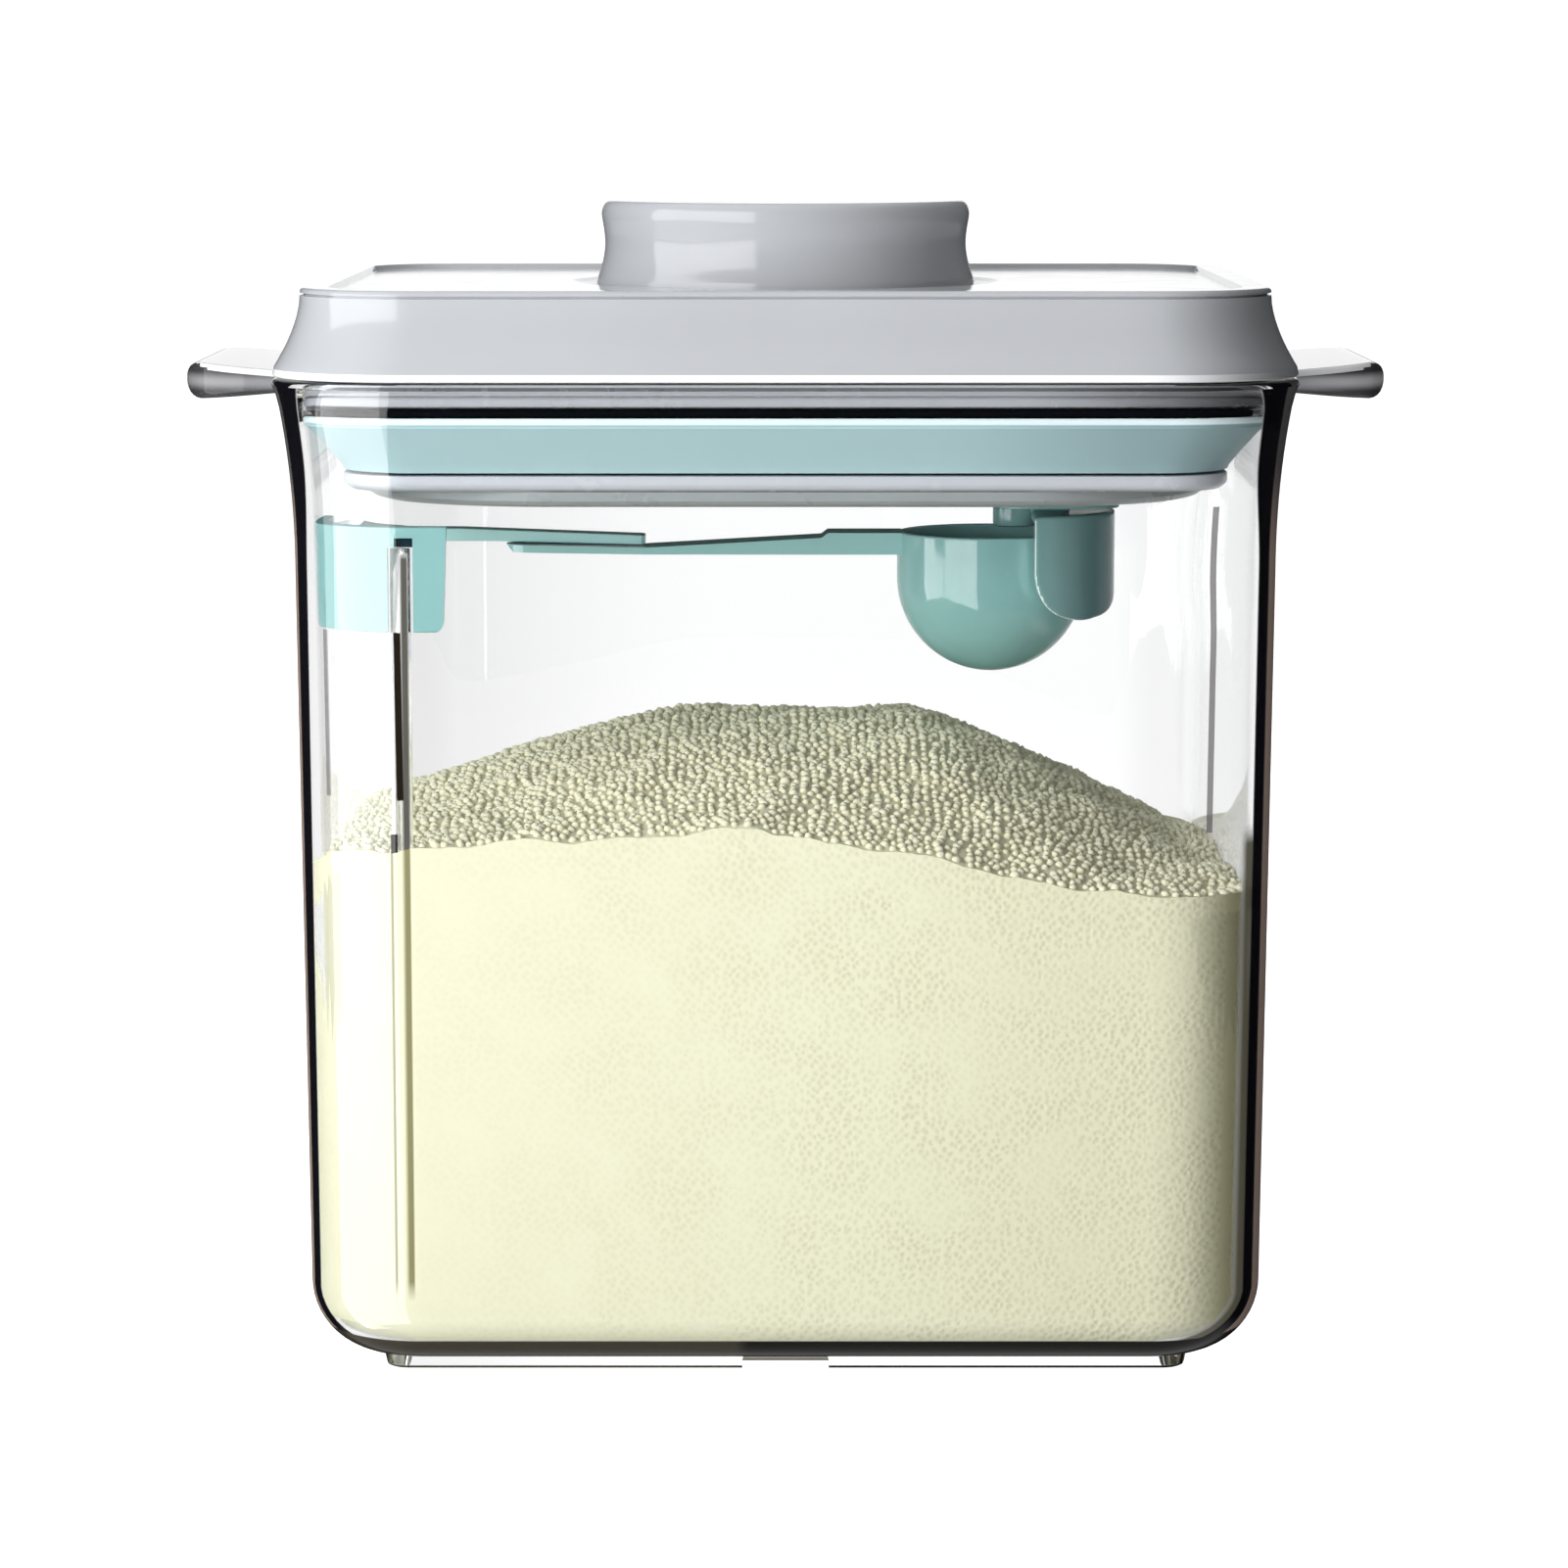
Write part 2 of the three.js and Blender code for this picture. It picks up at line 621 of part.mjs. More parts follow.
// The leveller: a blade round the front left corner, slotted over the guide rib, with a low strip along the left
// wall that carries an arm with a straight end
function leveller() {
  const bottom = levellerTop - levellerHeight;
  const thick = 2;
  const frontEnd = -49.1;
  const bladeBack = -37; // where the blade drops to the strip
  const stripEnd = 7;
  const stripLow = 119.6;
  const stripHigh = 122.3;
  const fit = 0.35;
  const ringAt = (z, inset) => [z, insideHalf(z) - fit - inset, bodyCorner - wall - inset];
  const outer = [
    ringAt(bottom, 0.3),
    ringAt(bottom + 0.3, 0),
    ringAt(flareFoot, 0),
    ringAt(levellerTop - 0.3, 0),
    ringAt(levellerTop, 0.3),
  ];
  const hollow = [ringAt(bottom - 1, thick), ringAt(flareFoot, thick), ringAt(levellerTop + 1, thick)];

  // Seen from the front, the band ends in an upright edge with a rounded lower corner
  const side = new THREE.Shape();
  side.moveTo(-80, bottom - 1);
  side.lineTo(frontEnd - 2, bottom - 1);
  side.lineTo(frontEnd - 2, bottom);
  side.quadraticCurveTo(frontEnd - 0.6, bottom, frontEnd - 0.5, bottom + 1.8);
  side.lineTo(frontEnd, levellerTop + 1);
  side.lineTo(-80, levellerTop + 1);
  const slotHalf = ribWidth / 2 + fit;
  const slot = box([ribX - slotHalf, -60, bottom - 2], [ribX + slotHalf, -40, ribTop + 0.5]);
  const band = solid(loft(outer))
    .subtract(solid(loft(hollow)))
    .intersect(solid(pushedAlongY(side, 70, 5)))
    .subtract(solid(box([-80, bladeBack, stripHigh], [0, 80, levellerTop + 5])))
    .subtract(solid(box([-80, bladeBack, bottom - 5], [0, 80, stripLow])))
    .subtract(solid(box([-80, stripEnd, bottom - 5], [0, 80, levellerTop + 5])))
    .subtract(solid(slot));

  // The arm ends just above the tip of the scoop's handle
  const rootHalf = 2.4;
  const endHalf = 2.6;
  const root = -(insideHalf(flareFoot) - fit - thick / 2);
  const plan = new THREE.Shape();
  plan.moveTo(root, -rootHalf - 4);
  plan.quadraticCurveTo(root + 1.5, -rootHalf, root + 6, -rootHalf);
  plan.quadraticCurveTo(-40, -rootHalf, bladeEnd - 0.6, -endHalf);
  plan.lineTo(bladeEnd, -endHalf + 0.6);
  plan.lineTo(bladeEnd, endHalf - 0.6);
  plan.lineTo(bladeEnd - 0.6, endHalf);
  plan.quadraticCurveTo(-40, rootHalf, root + 6, rootHalf);
  plan.quadraticCurveTo(root + 1.5, rootHalf, root, rootHalf + 4);
  const armLow = handleLow + 1.4; // underside at its end
  const armSide = new THREE.Shape();
  armSide.moveTo(-80, armLow + 0.7);
  armSide.lineTo(-45, armLow + 0.6);
  armSide.lineTo(bladeEnd + 1, armLow);
  armSide.lineTo(bladeEnd + 1, armLow + 1.5);
  armSide.lineTo(-50, armLow + 2.65);
  armSide.lineTo(-80, armLow + 2.9);
  const arm = solid(pushedUp(plan, armLow - 3, armLow + 5)).intersect(solid(pushedAlongY(armSide, 30)));
  return band.add(arm);
}

const container = new THREE.Group();
container.add(meshOf("jar", geometryOf(jar()), clearPlastic));
container.add(meshOf("milk_powder", geometryOf(powder()), powderCream));
container.add(meshOf("leveller", geometryOf(leveller()), tealPlastic));

const lid = new THREE.Group();
lid.add(meshOf("lid_cover", geometryOf(lidCover()), greyGloss));
lid.add(meshOf("lid_collar", geometryOf(lidCollar()), greyInner));
lid.add(meshOf("lid_neck", lidNeck(), blackInner));
lid.add(meshOf("gasket", geometryOf(gasket()), silicone));
lid.add(meshOf("lid_base", lidBase(), greyInner));
lid.add(meshOf("lid_plate", lidPlate(), greyInner));
lid.add(meshOf("scoop_holder", geometryOf(scoopHolder()), tealPlastic));
lid.add(meshOf("scoop", geometryOf(scoop()), tealPlastic));
lid.add(meshOf("button", button(), greyGloss));
container.add(lid);

export default container;
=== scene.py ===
import math

import bpy
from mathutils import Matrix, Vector, noise


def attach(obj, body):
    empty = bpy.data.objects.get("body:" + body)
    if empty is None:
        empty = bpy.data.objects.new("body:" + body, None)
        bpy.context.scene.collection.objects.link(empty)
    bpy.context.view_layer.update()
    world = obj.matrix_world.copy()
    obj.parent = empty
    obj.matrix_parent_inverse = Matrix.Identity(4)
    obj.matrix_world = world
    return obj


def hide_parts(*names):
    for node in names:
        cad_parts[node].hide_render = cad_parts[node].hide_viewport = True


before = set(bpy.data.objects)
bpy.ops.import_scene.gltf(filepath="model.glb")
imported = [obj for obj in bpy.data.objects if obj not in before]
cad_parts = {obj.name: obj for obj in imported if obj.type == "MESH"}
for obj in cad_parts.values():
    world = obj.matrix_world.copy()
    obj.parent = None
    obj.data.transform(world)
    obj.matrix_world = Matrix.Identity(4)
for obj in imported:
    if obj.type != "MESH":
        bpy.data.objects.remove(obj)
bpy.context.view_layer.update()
mm = 0.001  # shapes are written in millimetres and made in metres

# Shapes


def makeObject(name, points, faces):
    mesh = bpy.data.meshes.new(name)
    mesh.from_pydata([(x * mm, y * mm, z * mm) for x, y, z in points], [], faces)
    mesh.update()
    piece = bpy.data.objects.new(name, mesh)
    bpy.context.scene.collection.objects.link(piece)
    return piece


# points of a rounded rectangle, anticlockwise from the right side
def roundedRect(halfWidth, halfDepth, radius, steps=16):
    points = []
    for quarter, (sx, sy) in enumerate(((1, 1), (-1, 1), (-1, -1), (1, -1))):
        for i in range(steps + 1):
            angle = (quarter + i / steps) * math.pi / 2
            x = sx * (halfWidth - radius) + radius * math.cos(angle)
            y = sy * (halfDepth - radius) + radius * math.sin(angle)
            points.append((x, y))
    return points


# a closed solid through rings of points that have the same count, from the lowest up
def skin(name, rings):
    count = len(rings[0])
    points = [point for ring in rings for point in ring]
    faces = []
    for ring in range(len(rings) - 1):
        for i in range(count):
            a, b = ring * count + i, ring * count + (i + 1) % count
            faces.append((a, b, b + count, a + count))
    faces.append(tuple(reversed(range(count))))
    faces.append(tuple(range((len(rings) - 1) * count, len(rings) * count)))
    return makeObject(name, points, faces)


# level rounded rectangles, each [z, half width, radius]; the plan is shorter in Y by less on each side
def loft(name, sections, less, steps=24):
    rings = []
    for z, half, radius in sections:
        rings.append([(x, y, z) for x, y in roundedRect(half, half - less, radius, steps)])
    return skin(name, rings)


# sections for a loft from heights and how far each lies in from a half width and a corner radius
def stacked(half, corner, levels):
    return [[z, half - inward, corner - inward] for z, inward in levels]


# a turned solid: the profile of (radius, z) runs up from the axis, round the section and back to the axis
def turned(name, profile, x=0, sides=128):
    points, faces, rings = [], [], []
    for radius, z in profile:
        rings.append([len(points) + i for i in range(sides if radius > 0 else 1)])
        for i in range(len(rings[-1])):
            angle = 2 * math.pi * i / sides
            points.append((x + radius * math.cos(angle), radius * math.sin(angle), z))
    for low, high in zip(rings, rings[1:]):
        for i in range(sides):
            j = (i + 1) % sides
            if len(low) == 1:
                faces.append((low[0], high[j], high[i]))
            elif len(high) == 1:
                faces.append((low[i], low[j], high[0]))
            else:
                faces.append((low[i], low[j], high[j], high[i]))
    return makeObject(name, points, faces)


def sine(degrees):
    return math.sin(math.radians(degrees))


def cosine(degrees):
    return math.cos(math.radians(degrees))


# points of a curve from start to end that leaves towards turn and arrives from it
def bend(start, turn, end, steps=8):
    run = [i / steps for i in range(1, steps + 1)]
    places = list(zip(start, turn, end))
    return [tuple((1 - t) ** 2 * a + 2 * t * (1 - t) * b + t * t * c for a, b, c in places) for t in run]


# a flat outline with a thickness: along Y when it is drawn in X and Z, or up when it is drawn in X and Y
def slab(name, outline, low, high, upright=False):
    area = sum(a[0] * b[1] - b[0] * a[1] for a, b in zip(outline, outline[1:] + outline[:1]))
    if (area < 0) != upright:
        outline = outline[::-1]
    if upright:
        return skin(name, [[(a, low, b) for a, b in outline], [(a, high, b) for a, b in outline]])
    return skin(name, [[(a, b, low) for a, b in outline], [(a, b, high) for a, b in outline]])


def box(name, low, high):
    outline = [(low[0], low[1]), (high[0], low[1]), (high[0], high[1]), (low[0], high[1])]
    return slab(name, outline, low[2], high[2])


def steady(low, high, count):
    return [low + (high - low) * i / (count - 1) for i in range(count)]


# takes the modified mesh of a piece as its own plain mesh
def settle(piece):
    evaluated = piece.evaluated_get(bpy.context.evaluated_depsgraph_get())
    mesh = bpy.data.meshes.new_from_object(evaluated)
    if not any(mesh.materials):
        mesh.materials.clear()  # a cut leaves an empty slot
    piece.modifiers.clear()
    old = piece.data
    piece.data = mesh
    bpy.data.meshes.remove(old)
    return piece


def combine(piece, other, operation):
    combined = piece.modifiers.new(operation, "BOOLEAN")
    combined.object = other
    combined.operation = operation
    combined.solver = "MANIFOLD"
    settle(piece)
    bpy.data.objects.remove(other)
    return piece


def cut(piece, *others):
    for other in others:
        combine(piece, other, "DIFFERENCE")


def join(piece, *others):
    for other in others:
        combine(piece, other, "UNION")


def roundEdges(piece, width, angle=35, segments=3, clamped=True):
    bevel = piece.modifiers.new("edges", "BEVEL")
    bevel.use_clamp_overlap = clamped
    bevel.width = width * mm
    bevel.segments = segments
    bevel.limit_method = "ANGLE"
    bevel.angle_limit = math.radians(angle)
    return settle(piece)


# rounds every edge, by making the piece again from small cubes and smoothing it
def soften(piece, size, rounds):
    cubes = piece.modifiers.new("cubes", "REMESH")
    cubes.mode = "VOXEL"
    cubes.voxel_size = size * mm
    smooth = piece.modifiers.new("smooth", "SMOOTH")
    smooth.factor = 0.5
    smooth.iterations = rounds
    return settle(piece)


def shadeSmoothly(piece, angle=35):
    piece.data.polygons.foreach_set("use_smooth", [True] * len(piece.data.polygons))
    piece.data.set_sharp_from_angle(angle=math.radians(angle))
    normals = piece.modifiers.new("normals", "WEIGHTED_NORMAL")
    normals.keep_sharp = True
    return settle(piece)


def place(piece, node, materials, body="container"):
    if not len(piece.data.materials):
        for material in materials:
            piece.data.materials.append(material)
    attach(piece, body)
    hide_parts(node)
    print(piece.name, "has", len(piece.data.polygons), "faces")
    return piece


# Materials


def feed(socket, value):
    if isinstance(value, bpy.types.NodeSocket):
        socket.id_data.links.new(value, socket)
    else:
        socket.default_value = (*value, 1) if socket.type == "RGBA" else value


# inputs of a node by name or number, as values or as sockets of other nodes
def fill(node, inputs):
    for key, value in dict(inputs).items():
        feed(node.inputs[key], value)


def addNode(tree, kind, inputs=(), **settings):
    node = tree.nodes.new(kind)
    for name, value in settings.items():
        setattr(node, name, value)
    fill(node, inputs)
    return node


def shader(name):
    material = bpy.data.materials.new(name)
    material.use_nodes = True
    tree = material.node_tree
    tree.nodes.clear()
    surface = addNode(tree, "ShaderNodeBsdfPrincipled")
    output = addNode(tree, "ShaderNodeOutputMaterial", {"Surface": surface.outputs[0]})
    return material, tree, surface, output


# a sum of values and sockets, at least one of them a socket
def calculate(operation, *values):
    tree = next(value.id_data for value in values if isinstance(value, bpy.types.NodeSocket))
    return addNode(tree, "ShaderNodeMath", enumerate(values), operation=operation).outputs[0]


def times(first, *others):
    for other in others:
        first = calculate("MULTIPLY", first, other)
    return first


def most(first, *others):
    for other in others:
        first = calculate("MAXIMUM", first, other)
    return first


def axesOf(vector):
    return addNode(vector.id_data, "ShaderNodeSeparateXYZ", {0: vector}).outputs


# the place on the piece, in millimetres
def placeOn(tree):
    return [times(axis, 1 / mm) for axis in axesOf(addNode(tree, "ShaderNodeTexCoord").outputs["Object"])]


def objectNoise(tree, scale, detail=2.0, roughness=0.5):
    where = addNode(tree, "ShaderNodeTexCoord").outputs["Object"]
    inputs = {"Vector": where, "Scale": scale, "Detail": detail, "Roughness": roughness}
    return addNode(tree, "ShaderNodeTexNoise", inputs).outputs


def between(factor, low, high, fromLow=0.3, fromHigh=0.7, smooth=False):
    inputs = {"Value": factor, "From Min": fromLow, "From Max": fromHigh, "To Min": low, "To Max": high}
    kind = "SMOOTHSTEP" if smooth else "LINEAR"
    return addNode(factor.id_data, "ShaderNodeMapRange", inputs, interpolation_type=kind).outputs["Result"]


# rises from 0 to 1
def ramp(factor, fromLow, fromHigh, smooth=False):
    return between(factor, 0, 1, fromLow, fromHigh, smooth)


def mixColours(factor, first, second):
    inputs = {"Factor": factor, 6: first, 7: second}
    return addNode(factor.id_data, "ShaderNodeMix", inputs, data_type="RGBA").outputs[2]


def bumped(surface, height, strength, distance):
    inputs = {"Height": height, "Strength": strength, "Distance": distance * mm}
    feed(surface.inputs["Normal"], addNode(surface.id_data, "ShaderNodeBump", inputs).outputs[0])


# a moulded plastic: faint cloudiness in its colour, a fine skin, gloss that changes a little, and painted highlights
# and shade towards given sides
def mouldedPlastic(name, colour, darker, rough, roughest, ior=1.5, skinDepth=0.02, specular=0.5, edges=(), rim=None):
    material, tree, surface = shader(name)[:3]
    tint = mixColours(between(objectNoise(tree, 38, 3)[0], 0, 1), colour, darker)
    # each tone towards one side is painted light: a highlight where it is paler, shade where it is darker
    for edge in edges:  # another tone towards one side: its colour, and where it starts and is full along an axis
        tint = mixColours(ramp(placeOn(tree)[edge["axis"]], *edge["over"], True), tint, edge["colour"])
    worn = between(objectNoise(tree, 120, 5, 0.6)[0], rough, roughest)
    fill(surface, {"Base Color": tint, "Roughness": worn, "IOR": ior, "Specular IOR Level": specular})
    if rim is not None:  # less gloss where the surface turns away
        facing = addNode(tree, "ShaderNodeLayerWeight").outputs["Facing"]
        feed(surface.inputs["Specular IOR Level"], between(facing, specular, rim, 0.38, 0.55, True))
    bumped(surface, objectNoise(tree, 900, 2)[0], 0.3, skinDepth)
    return material


clearTint = (0.985, 0.988, 0.99)


# makes a material clear plastic: lamps shine through it, and how far a painted colour of shade or highlight covers it
# runs from 0 to 1
def glazed(material, tree, surface, output, colour, dark):
    fill(surface, {"Roughness": 0, "IOR": 1.5, "Transmission Weight": 1})
    if isinstance(dark, bpy.types.NodeSocket):
        colour = mixColours(dark, clearTint, colour)
        clear, gloss = calculate("MULTIPLY_ADD", dark, -0.98, 1), calculate("MULTIPLY_ADD", dark, -0.45, 0.5)
    else:
        clear, gloss = 1 - dark, 0.5 - 0.45 * dark
    fill(surface, {"Base Color": colour, "Transmission Weight": clear, "Specular IOR Level": gloss})
    bumped(surface, objectNoise(tree, 28, 1)[0], 0.03, 0.5)
    passing = addNode(tree, "ShaderNodeBsdfTransparent", {"Color": (0.93, 0.935, 0.94)})
    path = addNode(tree, "ShaderNodeLightPath").outputs
    either = most(path["Is Shadow Ray"], path["Is Diffuse Ray"])
    mix = addNode(tree, "ShaderNodeMixShader", {0: either, 1: surface.outputs[0], 2: passing.outputs[0]})
    feed(output.inputs["Surface"], mix.outputs[0])
    return material


# The outside of the jar, with painted shade: where it turns away a painted black line with a brown one outside it, and
# olive by the powder's front right corner; its thick base has a painted dark band, darker on the right, and the foot a
# painted fine dark edge and a painted dark patch of shade over the drain notch
outerLook = {
    "black": (0.004, 0.004, 0.006), "brown": (0.36, 0.27, 0.23), "flareShade": (0.1, 0.095, 0.095),
    "olive": (0.1, 0.09, 0.045), "base": (0.05, 0.042, 0.03), "baseRight": (0.006, 0.006, 0.005),
    "edge": (0.513, 0.543), "lean": 0.00053, "brownEdge": (0.72, 0.76), "brownLean": 0.0009,
    "flare": (122, 138), "flareWider": (0.05, 0.08), "narrowBelow": 120, "narrower": 0.0006, "rightNarrow": 0.25,
    "oliveEdge": (0.37, 0.47), "oliveMost": 0.94, "oliveTop": 84,
    "baseLow": 2.7, "baseHigh": 6.7, "footLine": 0.45, "notchHalf": 6.4,
}


def clearOutside(name):
    o = outerLook
    made = shader(name)
    tree = made[1]
    x, y, z = placeOn(tree)
    acrossX, acrossY = calculate("ABSOLUTE", x), calculate("ABSOLUTE", y)
    facing = addNode(tree, "ShaderNodeLayerWeight", {"Blend": 0.5}).outputs["Facing"]
    # the lines lie on the round corners and the round foot; a flat wall has them only when it is seen from its edge
    cornered = times(ramp(acrossX, 54.5, 56), ramp(acrossY, 39.5, 41))
    curved = most(cornered, between(z, 1, 0, 13.5, 16.5), ramp(facing, 0.8, 0.86))
    onRight = calculate("GREATER_THAN", x, 0)
    lowered = times(calculate("MINIMUM", calculate("SUBTRACT", z, o["narrowBelow"]), 0), o["narrower"])
    lowered = times(lowered, between(onRight, 1, o["rightNarrow"], 0, 1))
    leaning = calculate("ADD", calculate("MULTIPLY_ADD", x, o["lean"], facing), lowered)
    flared = ramp(z, *o["flare"], True)
    wider = times(between(onRight, *o["flareWider"], 0, 1), flared)
    edge = times(ramp(calculate("ADD", leaning, wider), *o["edge"], True), curved)
    frontRight = times(onRight, cornered, calculate("LESS_THAN", y, 0))
    byPowder = times(frontRight, between(z, 1, 0, o["oliveTop"] - 3, o["oliveTop"]))
    olive = times(between(leaning, 0, o["oliveMost"], *o["oliveEdge"], True), byPowder)
    base = times(ramp(z, o["baseLow"] - 0.1, o["baseLow"]),
                 ramp(z, o["baseHigh"] + 0.3, o["baseHigh"], True))
    foot = ramp(z, o["footLine"] + 0.1, o["footLine"])
    notch = times(calculate("LESS_THAN", acrossX, o["notchHalf"]), between(z, 0, 0.85, 2.9, 2.6, True))
    camera = addNode(tree, "ShaderNodeLightPath").outputs["Is Camera Ray"]
    dark = times(most(edge, olive, base, foot, notch), camera)
    outermost = calculate("MULTIPLY_ADD", x, o["brownLean"], facing)
    rim = mixColours(flared, o["brown"], o["flareShade"])
    colour = mixColours(ramp(outermost, *o["brownEdge"], True), o["black"], rim)
    colour = mixColours(edge, o["olive"], colour)
    under = mixColours(ramp(x, -7.5, -5.5), o["base"], o["baseRight"])
    colour = mixColours(most(base, foot), colour, under)
    return glazed(*made, colour, dark)


# a grip's sides: painted shade, darker towards their upper and lower edges, and lighter on the right grip than on the
# left
def gripPaintedShade(name):
    made = shader(name)
    x, _, z = placeOn(made[1])
    off = calculate("ABSOLUTE", calculate("SUBTRACT", z, 147.1))
    middle = mixColours(ramp(x, -10, 10), (0.3, 0.3, 0.31), (0.62, 0.62, 0.64))
    colour = mixColours(ramp(off, 0.1, 1.6, True), middle, (0.05, 0.05, 0.054))
    material = glazed(*made, (0.3, 0.3, 0.31), 0.8)
    feed(made[2].inputs["Base Color"], colour)
    return material


def plainClear(name, colour, dark):
    return glazed(*shader(name), colour, dark)


ribLines = {"right": (-56, -54.7), "left": (-57.6, -57.1), "foot": (13, 16), "head": (123.4, 124.2)}


# the inside of the jar: clear, with a painted dark line of shade along the right side of the guide rib
def clearInside(name):
    made = shader(name)
    x, y, z = placeOn(made[1])
    start, end = ribLines["right"]
    line = times(between(x, 0, 0.95, start, start + 0.4), between(x, 1, 0, end - 0.2, end))
    line = times(line, between(y, 1, 0, -52.6, -52.2))
    line = times(line, between(z, 0, 1, *ribLines["foot"]), between(z, 1, 0, *ribLines["head"]))
    colour = mixColours(ramp(line, 0, 0.2), clearTint, (0.06, 0.057, 0.04))
    return glazed(*made, colour, line)


def trueNormal(tree):
    return axesOf(addNode(tree, "ShaderNodeNewGeometry").outputs["Normal"])


# milk powder: smooth and creamy behind the wall, painted darker towards the right as shade, with small soft hollows
# that grow towards the right and whose darker tint is painted shade; a painted dark shade in the front right corner,
# painted dark lines where the guide rib shows through, and a slightly darker painted shade between the crumbs on top
powderLook = {
    "cream": (0.79, 0.785, 0.585), "creamGrey": (0.775, 0.77, 0.565), "right": (0.74, 0.73, 0.53),
    "hollow": (0.64, 0.63, 0.45), "under": (0.8, 0.77, 0.56), "corner": (0.24, 0.22, 0.1), "byRib": (0.2, 0.18, 0.07),
    "dotsPerMillimetre": 0.93, "slant": 42, "wander": 1.2, "plainBelow": -55, "fullAbove": 35, "leastHollow": 0.15,
}


def milkPowder(name):
    p = powderLook
    material, tree, surface = shader(name)[:3]
    x, y, z = placeOn(tree)
    normal = trueNormal(tree)
    # soft dots in slanting rows, drawn across the front and back or along the sides
    side = ramp(calculate("ABSOLUTE", normal[0]), 0.66, 0.74)
    across = calculate("MULTIPLY_ADD", calculate("SUBTRACT", y, x), side, x)
    flat = addNode(tree, "ShaderNodeCombineXYZ", {0: across, 1: z}).outputs[0]
    turned = (0, 0, math.radians(p["slant"]))
    slanting = addNode(tree, "ShaderNodeMapping", {"Vector": flat, "Rotation": turned}).outputs[0]
    inputs = {0: objectNoise(tree, 160, 3)["Color"], 1: (p["wander"], p["wander"], 0), 2: slanting}
    shifted = addNode(tree, "ShaderNodeVectorMath", inputs, operation="MULTIPLY_ADD").outputs[0]
    inputs = {"Vector": shifted, "Scale": p["dotsPerMillimetre"], "Randomness": 0.65}
    dots = addNode(tree, "ShaderNodeTexVoronoi", inputs, voronoi_dimensions="2D").outputs["Distance"]
    patch = objectNoise(tree, 90, 4, 0.6)[0]
    grown = between(x, p["leastHollow"], 1, p["plainBelow"], p["fullAbove"])
    depth = times(grown, between(patch, 0.3, 1, 0.35, 0.62))
    # the hollows are bumped, and their darker tint is painted shade that grows towards the right
    hollow = times(between(dots, 1, 0, 0, 0.62, True), depth)
    tone = mixColours(between(patch, 0, 1), p["cream"], p["creamGrey"])
    # darker towards the right: painted shade
    tone = mixColours(ramp(x, 5, 45, True), tone, p["right"])
    tint = mixColours(hollow, tone, p["hollow"])
    # a painted dark shade in the front right corner
    corner = times(between(x, 0, 0.88, 58, 68, True), between(y, 1, 0, -43, -34, True))
    tint = mixColours(corner, tint, p["corner"])
    # painted dark lines where the guide rib shows through the wall: one at its right side and a finer one at its left
    start, end = ribLines["right"]
    right = times(between(x, 0, 0.9, start, start + 0.5), between(x, 1, 0, end - 0.2, end))
    start, end = ribLines["left"]
    left = times(between(x, 0, 0.8, start, start + 0.15), between(x, 1, 0, end - 0.15, end))
    onFront = times(between(y, 1, 0, -53.7, -53.2), between(z, 0, 1, *ribLines["foot"]))
    tint = mixColours(times(most(right, left), onFront), tint, p["byRib"])
    # the open top of the heap, away from the wall, in a slightly darker tone: painted shade between the crumbs
    away = times(ramp(y, -53.6, -52.6, True), ramp(normal[2], 0.2, 0.5, True))
    tint = mixColours(away, tint, p["under"])
    fill(surface, {"Base Color": tint, "Roughness": 0.95, "Specular IOR Level": 0.15})
    grain = times(objectNoise(tree, 2600, 3, 0.7)[0], 0.35)
    bumped(surface, calculate("SUBTRACT", grain, hollow), 0.45, 0.2)
    return material


# the crumbs on top: pale, each patch a little different, and darker underneath as painted shade
crumbLook = {"pale": (0.95, 0.93, 0.72), "dull": (0.92, 0.89, 0.67), "below": (0.8, 0.76, 0.55)}


def powderCrumb(name):
    c = crumbLook
    material, tree, surface = shader(name)[:3]
    tone = mixColours(ramp(objectNoise(tree, 330, 3, 0.6)[0], 0.35, 0.65), c["pale"], c["dull"])
    tint = mixColours(ramp(trueNormal(tree)[2], 0.45, -0.15, True), tone, c["below"])
    fill(surface, {"Base Color": tint, "Roughness": 0.9, "Specular IOR Level": 0.2})
    bumped(surface, objectNoise(tree, 3000, 2, 0.6)[0], 0.5, 0.15)
    return material


clearOuter, clearInner, gripSide = clearOutside("clearOuter"), clearInside("clearInner"), gripPaintedShade("gripSide")
# painted dark lines of shade on the clear plastic: on the guide rib, by the inner corners, and in teal on the rib over
# the leveller blade
brownLine = plainClear("brownLine", (0.015, 0.011, 0.008), 0.99)
greyLine = plainClear("greyLine", (0.25, 0.24, 0.24), 0.6)
# a painted highlight on the grips' upper rounding, and a pale painted top standing for their lit top faces
gripShine = plainClear("gripShine", (0.96, 0.96, 0.97), 0.75)
gripTop = plainClear("gripTop", (0.8, 0.8, 0.81), 0.2)
tealLine = plainClear("tealLine", (0.006, 0.025, 0.025), 0.99)
powderCream, crumbCream = milkPowder("milkPowder"), powderCrumb("powderCrumb")

# painted light and shade towards one side: a painted highlight on the lid's lower lip and on the gasket's lip, a
# painted lighter left part on the scoop, and painted shade on the right of the gasket, lid, collar and clip; the axis
# is 0 for X and 2 for Z, and the places are in millimetres
gasketLipHighlight = {"axis": 2, "colour": (0.8, 0.94, 0.96), "over": (142.9, 143.2)}
gasketShade = {"axis": 0, "colour": (0.29, 0.42, 0.44), "over": (20, 62)}
lidLipHighlight = {"axis": 2, "colour": (0.93, 0.94, 0.96), "over": (150.25, 150.15)}
lidShade = {"axis": 0, "colour": (0.25, 0.26, 0.275), "over": (46, 75)}
collarShade = {"axis": 0, "colour": (0.12, 0.12, 0.13), "over": (30, 64)}
clipShade = {"axis": 0, "colour": (0.15, 0.27, 0.28), "over": (38, 50)}
